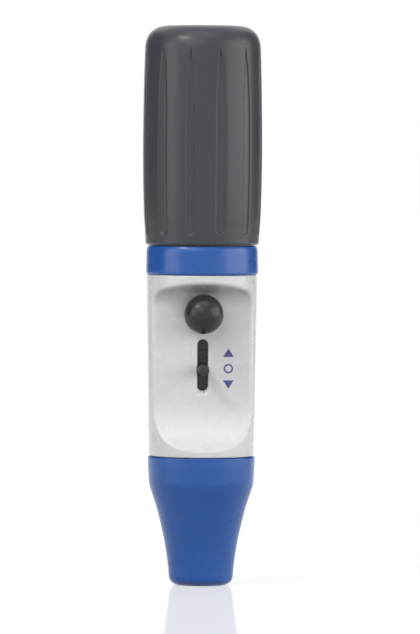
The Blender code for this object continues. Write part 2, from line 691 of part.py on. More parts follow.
def make_frame_fixings():
    """The posts between the valve blocks, their tie screws and the floor screws."""
    inner, outer = TIE_SCREW_RADIUS + GAP, POST_RADIUS
    high, low = BLOCK_Z - GAP, FRAME_TOP_Z + GAP
    places = [Matrix.Translation((x, y, 0)) for x, y in POST_PLACES]
    post = [(outer, high), (outer, low), (inner, low), (inner, high)]
    place_turned("frame_post", post, places, "steel")

    head_low, head_high = BLOCK_TOP_Z + GAP, BLOCK_TOP_Z + GAP + SCREW_HEAD_HEIGHT
    tip = FRAME_TOP_Z - TIE_SCREW_GRIP + GAP
    tie_screw = [(0.0, head_high), (SCREW_HEAD_RADIUS, head_high), (SCREW_HEAD_RADIUS, head_low),
                 (TIE_SCREW_RADIUS, head_low), (TIE_SCREW_RADIUS, tip), (0.0, tip)]
    place_turned("tie_screw", tie_screw, places, "steel")

    head_high, head_low = HOUSING_Z - GAP, HOUSING_Z - GAP - SCREW_HEAD_HEIGHT
    tip = FRAME_Z + FRAME_DISC_THICKNESS - 3 * GAP
    floor_screw = [(0.0, tip), (FLOOR_SCREW_RADIUS, tip), (FLOOR_SCREW_RADIUS, head_high),
                   (SCREW_HEAD_RADIUS, head_high), (SCREW_HEAD_RADIUS, head_low), (0.0, head_low)]
    places = spin(FLOOR_SCREWS, FLOOR_SCREW_CIRCLE, math.pi / 2)
    place_turned("floor_screw", floor_screw, places, "steel")


def make_transfer_tube():
    """The short tube that joins the two valve blocks."""
    inner, high, low = NIPPLE_RADIUS + GAP, BLOCK_Z - GAP, FRAME_TOP_Z + GAP
    tube = lathe("transfer_tube", [[
        (TUBE_RADIUS, high), (TUBE_RADIUS, low), (inner, low), (inner, high),
    ]], "clear_silicone", SMALL_SIDES)
    tube.location.x, tube.location.y = TUBE_PLACE


def make_lever():
    """The lever's arm and knob, laid out about the lever's axis, and the pin in its hub."""
    knob_back = KNOB_BACK_Y - PIVOT_Y
    arm = box("lever_arm", (-BLADE_WIDTH / 2, knob_back + GAP, -BLADE_HEIGHT / 2),
              (BLADE_WIDTH / 2, HUB_RADIUS / 2, BLADE_HEIGHT / 2), "dark_plastic")
    hub = rod("lever_hub", HUB_RADIUS, -HUB_WIDTH / 2, HUB_WIDTH / 2, None, INNER_SIDES)
    hub.rotation_euler.y = math.pi / 2
    pad = box("rocker_pad",
              (-ROCKER_WIDTH / 2, -LEVER_ARM - ROCKER_LENGTH / 2, -ROCKER_HEIGHT / 2),
              (ROCKER_WIDTH / 2, -LEVER_ARM + ROCKER_LENGTH / 2, ROCKER_HEIGHT / 2))
    tang = box("lever_tang", (-TANG_WIDTH / 2, knob_back - TANG_LENGTH, -TANG_HEIGHT / 2),
               (TANG_WIDTH / 2, knob_back + TANG_LENGTH, TANG_HEIGHT / 2))
    bore = rod("lever_bore", PIN_RADIUS + GAP, -HUB_WIDTH, HUB_WIDTH)
    bore.rotation_euler.y = math.pi / 2
    fuse(arm, hub, pad, tang)
    cut(arm, bore)

    length, radius, edge = KNOB_LENGTH, KNOB_RADIUS, KNOB_EDGE
    outline = [(0.0, length)] + arc((radius - edge, length - edge), edge, 90, 0, 4)
    knob = lathe("lever_knob", [outline + [(radius, 0.0), (0.0, 0.0)]], "dark_plastic")
    knob.rotation_euler.x = math.pi / 2
    knob.location.y = knob_back
    tang_hole = box("tang_hole",
                    (-TANG_WIDTH / 2 - GAP, knob_back - TANG_LENGTH - GAP, -TANG_HEIGHT / 2 - GAP),
                    (TANG_WIDTH / 2 + GAP, knob_back + GAP, TANG_HEIGHT / 2 + GAP))
    grooves = knob_groove_cutter(knob_back)
    cut(knob, tang_hole, grooves)

    axis = bpy.data.objects.new("lever_axis", None)
    axis.location = (0, PIVOT_Y, LEVER_Z)
    bpy.data.collections["pipette_controller"].objects.link(axis)
    for piece in (arm, hub, pad, tang, bore, knob, tang_hole, grooves):
        piece.parent = axis

    reach = HUB_WIDTH / 2 + GAP + LUG_WIDTH + GAP
    end = reach + PIN_HEAD_LENGTH
    pin = lathe("lever_pin", [[
        (0.0, end), (PIN_HEAD_RADIUS, end), (PIN_HEAD_RADIUS, reach), (PIN_RADIUS, reach),
        (PIN_RADIUS, -end), (0.0, -end),
    ]], "steel", SMALL_SIDES)
    pin.rotation_euler.y = math.pi / 2
    pin.location = axis.location


def knob_groove_cutter(knob_back):
    """Fine grooves along the knob's upper side."""
    size = KNOB_RIDGE_PITCH / 2
    groove = box("groove_pattern", (-size / 2, knob_back - 2 * KNOB_LENGTH, -KNOB_RIDGE_DEPTH),
                 (size / 2, knob_back - KNOB_LENGTH / 3, KNOB_RIDGE_DEPTH))
    lift = Matrix.Translation((0, 0, KNOB_RADIUS))
    places = [Matrix.Rotation(math.radians(angle), 4, "Y") @ lift for angle in KNOB_GROOVE_ANGLES]
    return repeat("knob_grooves", groove, places)


def make_stem(name, side):
    """One valve's stem, seals, spring and bush, above (1) or below (-1) the lever."""
    tip, end = STEM_TIP_REACH, SPOOL_END_REACH
    groove_places = [SPOOL_REACH + SPOOL_LENGTH * share for share in (0.75, 0.25)]
    outline = [(0.0, end + PILOT_LENGTH), (PILOT_RADIUS, end + PILOT_LENGTH), (PILOT_RADIUS, end),
               (SPOOL_RADIUS, end)]
    for place in groove_places:
        outline += ring_groove(SPOOL_RADIUS, STEM_RING_RADIUS, place, STEM_RING_SECTION)
    outline += [(SPOOL_RADIUS, SPOOL_REACH), (STEM_RADIUS, SPOOL_REACH)]
    outline += arc((0.0, tip + STEM_RADIUS), STEM_RADIUS, 0, -90, 3)
    outline[-1] = (0.0, tip)
    stem = lathe(name + "_stem", [outline], "valve_plastic", SMALL_SIDES)

    seals = [lathe(f"{name}_seal_{number}", [ring_section(STEM_RING_RADIUS, place, STEM_RING_SECTION)],
                   "seal_rubber", SMALL_SIDES)
             for number, place in enumerate(groove_places, 1)]

    inner, outer = STEM_RADIUS + GAP, BORE_RADIUS - GAP / 2
    low, high = BLOCK_REACH + GAP, BLOCK_REACH + GAP + BUSH_LENGTH
    bush = lathe(name + "_bush", [[(outer, high), (outer, low), (inner, low), (inner, high)]],
                 "dark_plastic", SMALL_SIDES)

    spring = spring_coil(name + "_spring", SPOOL_END_REACH + GAP + SPRING_WIRE_RADIUS,
                         BLOCK_REACH + BORE_DEPTH - GAP - SPRING_WIRE_RADIUS)
    for piece in (stem, *seals, bush, spring):
        piece.location = (0, STEM_Y, LEVER_Z)
        if side < 0:
            piece.rotation_euler.x = math.pi


def spring_coil(name, low, high):
    """A compression spring round Z between two heights."""
    wire = bpy.data.curves.new(name, "CURVE")
    wire.dimensions = "3D"
    wire.bevel_depth = SPRING_WIRE_RADIUS
    wire.bevel_resolution = 0
    wire.use_fill_caps = True
    per_turn = 8
    count = SPRING_TURNS * per_turn + 1
    line = wire.splines.new("POLY")
    line.points.add(count - 1)
    for i, point in enumerate(line.points):
        angle = math.tau * i / per_turn
        height = low + (high - low) * i / (count - 1)
        x, y = SPRING_COIL_RADIUS * math.cos(angle), SPRING_COIL_RADIUS * math.sin(angle)
        point.co = (x, y, height, 1.0)
    return add(name, wire, "steel")


def make_blowout_bulb():
    """The hollow ball on its neck, turned about an axis that points out of the panel."""
    ball, neck, wall = BULB_RADIUS, BULB_NECK_RADIUS, BULB_WALL
    neck_angle = math.degrees(math.acos(neck / ball))
    neck_end = BULB_Y - BULB_NECK_END_Y
    inner = ball - wall
    inner_neck = neck - wall
    inner_angle = math.degrees(math.acos(inner_neck / inner))
    outline = arc((0, 0), ball, 90, -neck_angle, 9)
    outline[0] = (0.0, ball)
    outline += [(neck, neck_end), (inner_neck, neck_end)]
    outline += arc((0, 0), inner, -inner_angle, 90, 5)
    outline[-1] = (0.0, inner)
    bulb = lathe("blowout_bulb", [outline], "dark_silicone")
    bulb.location = (0, BULB_Y, BULB_Z)
    bulb.rotation_euler.x = math.pi / 2


def make_collar():
    """The blue ring that covers the carrier's flange."""
    top, edge = COLLAR_HEIGHT, COLLAR_EDGE
    flange_cover = CARRIER_FLANGE + GAP
    lathe("collar_ring", [[
        (COLLAR_RADIUS - edge, top),
        (COLLAR_RADIUS - edge / 4, top - edge),
        (COLLAR_RADIUS, top / 2),
        (COLLAR_RADIUS + edge / 4, 2 * edge),
        (COLLAR_RADIUS - edge / 2, 0.0),
        (FLANGE_RADIUS + GAP, 0.0),
        (FLANGE_RADIUS + GAP, flange_cover),
        (CARRIER_RADIUS + GAP, flange_cover),
        (CARRIER_RADIUS + GAP, top),
    ]], "blue_plastic", SHELL_SIDES).location.z = COLLAR_Z


def make_carrier():
    """The plug that carries the bellows, with its O-ring and its exhaust valve."""
    rise = COLLAR_HEIGHT + CARRIER_RISE
    disc_low = rise - CARRIER_DISC
    inner = CARRIER_RADIUS - CARRIER_WALL
    ring_height = COLLAR_HEIGHT + CARRIER_RING_HEIGHT
    spigot_radius = housing_radius(HOUSING_LENGTH) - HOUSING_WALL - GAP
    port = HOSE_NIPPLE_RADIUS - HOSE_NIPPLE_WALL
    carrier = lathe("bellows_carrier", [[
        (port, rise),
        (CARRIER_RADIUS - CARRIER_WALL / 3, rise),
        (CARRIER_RADIUS, rise - CARRIER_WALL / 3),
        *ring_groove(CARRIER_RADIUS, CARRIER_RING_RADIUS, ring_height, CARRIER_RING_SECTION),
        (CARRIER_RADIUS, CARRIER_FLANGE),
        (FLANGE_RADIUS, CARRIER_FLANGE),
        (FLANGE_RADIUS, 0.0),
        (spigot_radius, 0.0),
        (spigot_radius, -CARRIER_SPIGOT),
        (inner, -CARRIER_SPIGOT),
        (inner, disc_low),
        (HOSE_NIPPLE_RADIUS, disc_low),
        (HOSE_NIPPLE_RADIUS, disc_low - HOSE_NIPPLE_LENGTH),
        (port, disc_low - HOSE_NIPPLE_LENGTH),
    ]], "valve_plastic")
    carrier.location.z = COLLAR_Z
    stem_hole = upright("exhaust_hole", EXHAUST_STEM_RADIUS + GAP, (EXHAUST_X, 0),
                        CARRIER_TOP_Z - 2 * CARRIER_DISC, CARRIER_TOP_Z + CARRIER_DISC)
    vent = rod("vent_pattern", EXHAUST_VENT_RADIUS, -2 * CARRIER_DISC, CARRIER_DISC, None, 8)
    vents = repeat("exhaust_vents", vent, spin(EXHAUST_VENTS, EXHAUST_VENT_CIRCLE, math.pi / 4))
    vents.location = (EXHAUST_X, 0, CARRIER_TOP_Z)
    cut(carrier, stem_hole, vents)

    section = ring_section(CARRIER_RING_RADIUS, ring_height, CARRIER_RING_SECTION)
    ring = lathe("carrier_o_ring", [section], "seal_rubber")
    ring.location.z = COLLAR_Z

    stem, knob = EXHAUST_STEM_RADIUS, EXHAUST_KNOB_RADIUS
    cap_top = -CARRIER_DISC - GAP
    valve = lathe("exhaust_valve", [[
        (0.0, GAP + knob), (stem, GAP + knob), (knob, GAP + knob / 2), (knob, GAP), (stem, GAP),
        (stem, cap_top), (EXHAUST_CAP_RADIUS, cap_top), (EXHAUST_CAP_RADIUS, cap_top - stem / 2),
        (stem, cap_top - 1.5 * stem), (0.0, cap_top - 1.5 * stem),
    ]], "clear_silicone", SMALL_SIDES)
    valve.location = (EXHAUST_X, 0, CARRIER_TOP_Z)


def make_bellows_hose():
    """The sleeve from the upper valve block to the carrier's nipple."""
    inner = HOSE_NIPPLE_RADIUS + GAP
    low = BLOCK_TOP_Z + GAP
    high = CARRIER_TOP_Z - CARRIER_DISC - HOSE_NIPPLE_LENGTH + HOSE_OVERLAP
    lathe("bellows_hose", [[
        (inner + HOSE_WALL, high), (inner + HOSE_WALL, low), (inner, low), (inner, high),
    ]], "dark_silicone")


def bellows_radius(height):
    """Outer radius of the bellows at a height above its foot, below the top rounding."""
    foot = (BELLOWS_FOOT_RADIUS, BELLOWS_FOOT_ROUNDING)
    belly = (BELLOWS_BELLY_RADIUS, BELLOWS_BELLY_HEIGHT)
    neck = (BELLOWS_NECK_RADIUS, BELLOWS_LENGTH - BELLOWS_TOP_ROUNDING)
    if height < belly[1]:
        share = max(0.0, (height - foot[1]) / (belly[1] - foot[1]))
        return hermite(share, foot, belly, BELLOWS_FOOT_SLOPE, 0.0)[0]
    share = (height - belly[1]) / (neck[1] - belly[1])
    return hermite(share, belly, neck, 0.0, BELLOWS_NECK_SLOPE)[0]


def make_bellows():
    """The thick silicone sleeve with its closed top and long flutes."""
    top, rounding = BELLOWS_LENGTH, BELLOWS_TOP_ROUNDING
    foot_rounding = BELLOWS_FOOT_ROUNDING
    neck_height = top - rounding
    heights = between(neck_height, BELLOWS_BELLY_HEIGHT, 3)[1:]
    heights += between(BELLOWS_BELLY_HEIGHT, foot_rounding, 4)[1:-1]
    outline = [(0.0, top)]
    outline += arc((BELLOWS_NECK_RADIUS - rounding, neck_height), rounding, 90, 0, 6)
    outline += [(bellows_radius(height), height) for height in heights]
    outline += arc((BELLOWS_FOOT_RADIUS - foot_rounding, foot_rounding), foot_rounding, 0, -90, 2)

    grip_radius = CARRIER_RADIUS + GAP
    wall = BELLOWS_WALL
    outline += [(grip_radius, 0.0), (grip_radius, BELLOWS_GRIP)]
    inner_heights = [BELLOWS_GRIP + wall, BELLOWS_BELLY_HEIGHT]
    outline += [(bellows_radius(height) - wall, height) for height in inner_heights]
    outline += arc((BELLOWS_NECK_RADIUS - rounding, neck_height), rounding - wall, 0, 90, 2)
    outline.append((0.0, top - wall))
    bellows = lathe("suction_bellows", [outline], "grey_silicone", SHELL_SIDES)
    bellows.location.z = BELLOWS_Z

    flutes = repeat("flutes", flute_cutter(), spin(FLUTES, 0.0, math.pi / FLUTES))
    flutes.location.z = BELLOWS_Z
    cut(bellows, flutes)


def flute_cutter():
    """A thin tube along the bellows' side, pointed at its upper end."""
    low, high = FLUTE_START, BELLOWS_LENGTH - FLUTE_END_BELOW_TOP
    point_start = high - FLUTE_POINT_LENGTH
    steps = 4
    heights = [low, *between(low + FLUTE_CUTTER_RADIUS, point_start, steps), high]
    sizes = [FLUTE_LOW_SHARE] + [1.0] * (steps + 1) + [FLUTE_POINT_SHARE]
    path = bpy.data.curves.new("flute_path", "CURVE")
    path.dimensions = "3D"
    path.bevel_depth = FLUTE_CUTTER_RADIUS
    path.bevel_resolution = 1
    path.use_fill_caps = True
    line = path.splines.new("POLY")
    line.points.add(len(heights) - 1)
    for point, height, size in zip(line.points, heights, sizes):
        reach = bellows_radius(height) + (FLUTE_CUTTER_RADIUS - FLUTE_DEPTH) * size
        point.co = (0.0, -reach, height, 1.0)
        point.radius = size
    return add("flute_pattern", path, None)


def nose_radius(height):
    """Outer radius of the nose cone at a height, above its rounded end."""
    end = (NOSE_END_RADIUS, NOSE_END_HEIGHT)
    bend = (NOSE_BREAK_RADIUS, NOSE_BREAK_HEIGHT)
    shoulder = (NOSE_SHOULDER_RADIUS, NOSE_SHOULDER_HEIGHT)
    if height <= end[1]:
        return NOSE_END_RADIUS
    if height <= bend[1]:
        share = (height - end[1]) / (bend[1] - end[1])
        return hermite(share, end, bend, NOSE_END_SLOPE, NOSE_BREAK_SLOPE)[0]
    if height <= shoulder[1]:
        share = (height - bend[1]) / (shoulder[1] - bend[1])
        return hermite(share, bend, shoulder, NOSE_BREAK_SLOPE, NOSE_SHOULDER_SLOPE)[0]
    share = (height - shoulder[1]) / (NOSE_LENGTH - shoulder[1])
    return NOSE_SHOULDER_RADIUS + (NOSE_TOP_RADIUS - NOSE_SHOULDER_RADIUS) * share


def make_nose_cone():
    """The blue cone that screws onto the housing's spigot and carries the adapter."""
    chamfer, edge = HOUSING_CHAMFER, NOSE_EDGE_RADIUS
    sleeve_radius = SPIGOT_RADIUS + GAP
    sleeve_end = HOUSING_Z - SPIGOT_LENGTH - GAP
    heights = [NOSE_LENGTH - chamfer]
    heights += between(NOSE_SHOULDER_HEIGHT, NOSE_BREAK_HEIGHT, 3)
    heights += between(NOSE_BREAK_HEIGHT, NOSE_END_HEIGHT, 7)[1:]
    outline = [(NOSE_TOP_RADIUS - chamfer, NOSE_LENGTH)]
    outline += [(nose_radius(height), height) for height in heights]
    outline += arc((NOSE_END_RADIUS - edge, edge), edge, 0, -90, 3)
    outline += [(NOSE_MOUTH_RADIUS, 0.0), (NOSE_MOUTH_RADIUS, NOSE_LIP)]
    outline += [(nose_radius(height) - NOSE_WALL, height)
                for height in [NOSE_LIP] + between(NOSE_END_HEIGHT, NOSE_BREAK_HEIGHT, 4)]
    outline += [(nose_radius(NOSE_BREAK_HEIGHT) - NOSE_WALL, sleeve_end), (sleeve_radius, sleeve_end),
                (sleeve_radius, NOSE_LENGTH)]
    lathe("nose_cone", [outline], "blue_plastic", SHELL_SIDES)


def socket_radius(height):
    """Bore of the adapter's inner cone at a height above the adapter's lower end."""
    return SOCKET_MOUTH_RADIUS + (SOCKET_END_RADIUS - SOCKET_MOUTH_RADIUS) * height / SOCKET_DEPTH


def make_adapter():
    """The silicone adapter: an outer cup, and an inner cone that grips the pipette."""
    shrink = NOSE_WALL + GAP
    rim = NOSE_BREAK_HEIGHT - GAP
    plug = FILTER_NIPPLE_RADIUS + GAP
    tube_radius = SOCKET_END_RADIUS + SOCKET_WALL
    floor_z = ADAPTER_Z + ADAPTER_FLOOR
    root_radius = socket_radius(ADAPTER_FLOOR) + SOCKET_WALL

    outline = [(nose_radius(height) - shrink, height) for height in between(rim, NOSE_END_HEIGHT, 4)]
    outline += [(nose_radius(ADAPTER_Z) - shrink, ADAPTER_Z), (SOCKET_MOUTH_RADIUS, ADAPTER_Z)]
    for share in (0.3, 0.6):
        radius, height = socket_radius(SOCKET_DEPTH * share), ADAPTER_Z + SOCKET_DEPTH * share
        outline += [(radius, height - SOCKET_LIP), (radius - SOCKET_LIP, height),
                    (radius, height + SOCKET_LIP)]
    socket_end, top = ADAPTER_Z + SOCKET_DEPTH, ADAPTER_Z + ADAPTER_HEIGHT
    outline += [(SOCKET_END_RADIUS, socket_end), (plug, socket_end), (plug, top), (tube_radius, top),
                (tube_radius, socket_end), (root_radius, floor_z)]
    outline += [(nose_radius(height) - shrink - ADAPTER_WALL, height)
                for height in between(floor_z, rim, 3)]
    lathe("pipette_adapter", [outline], "clear_silicone")


def make_filter():
    """The membrane filter: two shells with spouts, and the membrane between them."""
    radius, plate_height, rim = FILTER_RADIUS, FILTER_PLATE, FILTER_RIM
    nipple, passage = FILTER_NIPPLE_RADIUS, FILTER_PASSAGE_RADIUS
    rim_wall = FILTER_PLATE
    lower = lathe("filter_lower_shell", [[
        (radius, plate_height + rim), (radius, 0.0), (nipple, 0.0), (nipple, -FILTER_PLUG_LENGTH),
        (passage, -FILTER_PLUG_LENGTH), (passage, plate_height), (radius - rim_wall, plate_height),
        (radius - rim_wall, plate_height + rim),
    ]], "filter_plastic")
    lower.location.z = FILTER_Z

    membrane = rod("filter_membrane", radius - rim_wall - GAP, 0.0, MEMBRANE_THICKNESS, "membrane",
                   INNER_SIDES)
    membrane.location.z = FILTER_Z + plate_height + GAP

    upper = lathe("filter_upper_shell", [[
        (passage, plate_height + FILTER_SPOUT_LENGTH), (nipple, plate_height + FILTER_SPOUT_LENGTH),
        (nipple, plate_height), (radius, plate_height), (radius, 0.0), (passage, 0.0),
    ]], "filter_plastic")
    upper.location.z = FILTER_Z + plate_height + rim + GAP


def make_seals():
    """The O-rings of the filter port and of the nose's spigot."""
    section = ring_section(PORT_RING_RADIUS, 0.0, PORT_RING_SECTION)
    port = lathe("port_seal", [section], "seal_rubber", SMALL_SIDES)
    port.location.z = FRAME_Z - PORT_LENGTH / 2

    section = ring_section(NOSE_RING_RADIUS, 0.0, NOSE_RING_SECTION)
    nose = lathe("nose_seal", [section], "seal_rubber")
    nose.location.z = HOUSING_Z - NOSE_RING_DEPTH


def build():
    """Makes every sub-part."""
    empty_scene()
    make_nose_cone()
    make_adapter()
    make_filter()
    make_seals()
    make_housing()
    make_slot_seal()
    make_valve_frame()
    make_aspirate_block()
    make_frame_fixings()
    make_transfer_tube()
    make_lever()
    make_stem("aspirate", 1)
    make_stem("dispense", -1)
    make_blowout_bulb()
    make_collar()
    make_carrier()
    make_bellows_hose()
    make_bellows()


build()
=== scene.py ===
"""Looks of the pipette controller: its camera, lights, materials and finely shaped pieces.

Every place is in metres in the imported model's frame: +Z runs up the controller, and its
control panel faces -Y.
"""

import math

import bmesh
import bpy
from mathutils import Matrix, Vector


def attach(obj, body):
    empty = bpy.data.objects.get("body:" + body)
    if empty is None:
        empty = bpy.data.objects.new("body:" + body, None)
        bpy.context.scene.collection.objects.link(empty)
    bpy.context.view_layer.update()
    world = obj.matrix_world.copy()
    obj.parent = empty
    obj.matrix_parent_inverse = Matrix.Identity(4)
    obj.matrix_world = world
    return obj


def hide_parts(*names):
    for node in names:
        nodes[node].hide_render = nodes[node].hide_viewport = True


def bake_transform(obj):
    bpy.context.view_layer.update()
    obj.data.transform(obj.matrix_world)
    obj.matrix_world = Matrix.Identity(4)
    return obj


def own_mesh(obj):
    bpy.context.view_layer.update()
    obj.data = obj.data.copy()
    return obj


MM = 0.001

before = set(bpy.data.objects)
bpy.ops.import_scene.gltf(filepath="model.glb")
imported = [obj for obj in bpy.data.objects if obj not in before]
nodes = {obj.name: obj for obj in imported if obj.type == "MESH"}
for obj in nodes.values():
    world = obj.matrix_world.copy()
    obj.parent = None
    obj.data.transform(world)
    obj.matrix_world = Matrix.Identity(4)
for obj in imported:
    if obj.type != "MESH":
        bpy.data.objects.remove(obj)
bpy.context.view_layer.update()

# The middle of the controller, which the lights face
MIDDLE = Vector((0, 0, 100 * MM))

# Housing and its scooped panel, whose middle lies at y = -PANEL_DEPTH
HOUSING_WALL = 1.8 * MM
PANEL_DEPTH = 8.0 * MM
SCOOP_LOW_RADIUS, SCOOP_LOW_Z = 19.0 * MM, 67.2 * MM
SCOOP_ROOF_Z, SCOOP_ROOF_RISE = 106.65 * MM, 0.32
SCOOP_ROOF_RADIUS = 4.2 * MM

# Lever slot, the rim of its mouth, and how far its lower end slants up through the wall
LEVER_Z = 79.3 * MM
SLOT_RADIUS = 2.0 * MM
SLOT_LOW, SLOT_HIGH = LEVER_Z - 9.7 * MM, LEVER_Z + 10.9 * MM
SLOT_RIM = 0.35 * MM
SLOT_RAMP = 1.8 * MM
KNOB_ROOT_Y = -10.2 * MM

# Folded strips behind the slot, on each side of the lever's blade
FOLD_Y, FOLD_WIDTH = -5.72 * MM, 3.25 * MM
SLIT_HALF_LENGTH, BLADE_HALF_HEIGHT = 6.95 * MM, 1.6 * MM

# Ball above the slot, how far it is pressed in, and the gap round it
BULB_Y, BULB_Z = -14.2 * MM, 99.6 * MM
BULB_RADIUS = 7.2 * MM
BULB_TRAVEL = 2.2 * MM
FIT = 0.3 * MM

# Printed marks
MARK_X = 9.35 * MM
MARK_Y = -PANEL_DEPTH - 0.02 * MM

# Screw holes in the housing's floor
SCREW_HOLE_RADIUS, SCREW_CIRCLE_RADIUS = 1.3 * MM, 11.5 * MM

# Bellows and its flutes; the flutes' heights count from the bellows' foot
BELLOWS_LOW = 124.6 * MM
FLUTES = 12
FLUTE_LOW, FLUTE_HIGH = 4.1 * MM, 71.7 * MM
FLUTE_HALF_WIDTH = 1.6 * MM
FLUTE_TAPER_START = 42.0 * MM
FLUTE_FLANK = 0.34 * MM
FLUTE_DEPTH = 0.5 * MM
SECTOR_COLUMNS = 16


# Shapes


def slope(before, here, after):
    """Direction of a smooth curve at a point between two others, per unit of length."""
    back, ahead = here - before, after - here
    if back.length == 0.0 or ahead.length == 0.0:
        return (after - before).normalized()
    share = back.length / (back.length + ahead.length)
    return back.normalized() * (1.0 - share) + ahead.normalized() * share


def flowing(knots):
    """Points on a smooth curve through knots of (radius, height, steps to the next) in mm."""
    places = [Vector(knot[:2]) * MM for knot in knots]
    last = len(places) - 1
    points = []
    for i in range(last):
        start, end = places[i], places[i + 1]
        span = (end - start).length
        leaving = slope(places[max(i - 1, 0)], start, end) * span
        arriving = slope(start, end, places[min(i + 2, last)]) * span
        for step in range(knots[i][2]):
            t = step / knots[i][2]
            points.append(start * (2 * t**3 - 3 * t**2 + 1) + leaving * (t**3 - 2 * t**2 + t)
                          + end * (3 * t**2 - 2 * t**3) + arriving * (t**3 - t**2))
    return [tuple(point) for point in points] + [tuple(places[last])]


def arc(centre, radius, start, end, steps):
    """Points of (radius, height) on an arc; its centre and radius are in mm."""
    angles = [math.radians(start + (end - start) * i / steps) for i in range(steps + 1)]
    return [((centre[0] + radius * math.cos(a)) * MM, (centre[1] + radius * math.sin(a)) * MM)
            for a in angles]


def in_metres(*points):
    """Corner points of (radius, height), given in mm."""
    return [(radius * MM, height * MM) for radius, height in points]


def outline_of(shape, outline, closed=True):
    """Adds an outline of (radius, height) points to a bmesh, and returns what it is made of."""
    points = [shape.verts.new((radius, 0.0, height)) for radius, height in outline]
    lines = [shape.edges.new(pair) for pair in zip(points, points[1:])]
    if closed:
        lines.append(shape.edges.new((points[-1], points[0])))
    return points + lines


def turned(outline, steps, closed=False):
    """A bmesh made by turning an outline of (radius, height) points about Z."""
    shape = bmesh.new()
    bmesh.ops.spin(shape, geom=outline_of(shape, outline, closed), cent=(0, 0, 0), axis=(0, 0, 1),
                   dvec=(0, 0, 0), angle=math.tau, steps=steps, use_merge=True)
    bmesh.ops.remove_doubles(shape, verts=shape.verts, dist=0.001 * MM)
    return shape


def face_front(shape, place):
    """Turns a bmesh's +Z towards the controller's front, -Y, and moves it to a place."""
    bmesh.ops.rotate(shape, cent=(0, 0, 0), verts=shape.verts,
                     matrix=Matrix.Rotation(math.pi / 2, 3, "X"))
    bmesh.ops.translate(shape, vec=place, verts=shape.verts)


def piece(shape, name, body, look, slot, *replaced, crease=38):
    """Makes an object of a bmesh, which rides on a body and may replace CAD nodes."""
    bmesh.ops.recalc_face_normals(shape, faces=shape.faces)
    mesh = bpy.data.meshes.new(name)
    shape.to_mesh(mesh)
    shape.free()
    mesh.shade_smooth()
    mesh.set_sharp_from_angle(angle=math.radians(crease))
    mesh.materials.append(look)
    made = bpy.data.objects.new(name, mesh)
    bpy.context.scene.collection.objects.link(made)
    if replaced:
        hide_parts(*replaced)
    if body:
        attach(made, body)
    return made


def carved(shape, *cutters):
    """The bmesh that is left after other ones are cut from it."""
    def temporary(source, name):
        bmesh.ops.recalc_face_normals(source, faces=source.faces)
        mesh = bpy.data.meshes.new(name)
        source.to_mesh(mesh)
        source.free()
        made = bpy.data.objects.new(name, mesh)
        bpy.context.scene.collection.objects.link(made)
        return made

    blank = temporary(shape, "blank")
    tools = [temporary(cutter, "cutter") for cutter in cutters]
    for tool in tools:
        step = blank.modifiers.new("cut", "BOOLEAN")
        step.operation = "DIFFERENCE"
        step.solver = "EXACT"
        step.object = tool
    bpy.context.view_layer.update()
    evaluated = blank.evaluated_get(bpy.context.evaluated_depsgraph_get())
    left = bmesh.new()
    left.from_mesh(evaluated.to_mesh())
    evaluated.to_mesh_clear()
    for made in [blank, *tools]:
        bpy.data.objects.remove(made)
    return left


def smooth_share(value):
    """0 to 1 with level ends, as value goes from 0 to 1."""
    value = min(max(value, 0.0), 1.0)
    return value * value * (3.0 - 2.0 * value)


# Materials


def new_material(name):
    """An empty node material, with its Principled shader and its Object coordinates."""
    made = bpy.data.materials.new(name)
    made.use_nodes = True
    coordinates = made.node_tree.nodes.new("ShaderNodeTexCoord")
    return made, made.node_tree.nodes["Principled BSDF"], coordinates.outputs["Object"]


def noise(made, place, scale, detail=3.0, roughness=0.55):
    """The value of a noise texture whose scale is in features per metre."""
    texture = made.node_tree.nodes.new("ShaderNodeTexNoise")
    texture.inputs["Scale"].default_value = scale
    texture.inputs["Detail"].default_value = detail
    texture.inputs["Roughness"].default_value = roughness
    made.node_tree.links.new(place, texture.inputs["Vector"])
    return texture.outputs["Fac"]


def ramp(made, value, stops):
    """A colour ramp over a value, with stops of (place, colour)."""
    node = made.node_tree.nodes.new("ShaderNodeValToRGB")
    line = node.color_ramp
    line.elements[0].position, line.elements[0].color = stops[0][0], (*stops[0][1], 1.0)
    line.elements[1].position, line.elements[1].color = stops[-1][0], (*stops[-1][1], 1.0)
    for position, colour in stops[1:-1]:
        line.elements.new(position).color = (*colour, 1.0)
    made.node_tree.links.new(value, node.inputs["Fac"])
    return node.outputs["Color"]


def between(made, value, low, high):
    """A texture's usual values, 0.3 to 0.7, stretched to run from low to high."""
    node = made.node_tree.nodes.new("ShaderNodeMapRange")
    node.inputs["From Min"].default_value = 0.3
    node.inputs["From Max"].default_value = 0.7
    node.inputs["To Min"].default_value = low
    node.inputs["To Max"].default_value = high
    made.node_tree.links.new(value, node.inputs["Value"])
    return node.outputs["Result"]


def relief(made, value, distance, strength, below=None):
    """A bump of a value's height in metres, on top of another bump if one is given."""
    node = made.node_tree.nodes.new("ShaderNodeBump")
    node.inputs["Distance"].default_value = distance
    node.inputs["Strength"].default_value = strength
    made.node_tree.links.new(value, node.inputs["Height"])
    if below:
        made.node_tree.links.new(below, node.inputs["Normal"])
    return node.outputs["Normal"]


def moulded(name, light, dark, roughness, grain, depth, patches=60.0, **constants):
    """A moulded surface: two close colours in soft patches, fine grain and uneven gloss."""
    made, shader, place = new_material(name)
    link = made.node_tree.links.new
    patch = noise(made, place, patches)
    link(ramp(made, patch, [(0.3, dark), (0.7, light)]), shader.inputs["Base Color"])
    link(between(made, noise(made, place, patches * 4), *roughness), shader.inputs["Roughness"])
    fine = relief(made, noise(made, place, grain, 2.0), depth, 0.6)
    broad = relief(made, noise(made, place, grain / 12, 1.0), depth * 6, 0.25, fine)
    link(broad, shader.inputs["Normal"])
    for socket, value in constants.items():
        shader.inputs[socket.replace("_", " ")].default_value = value
    return made


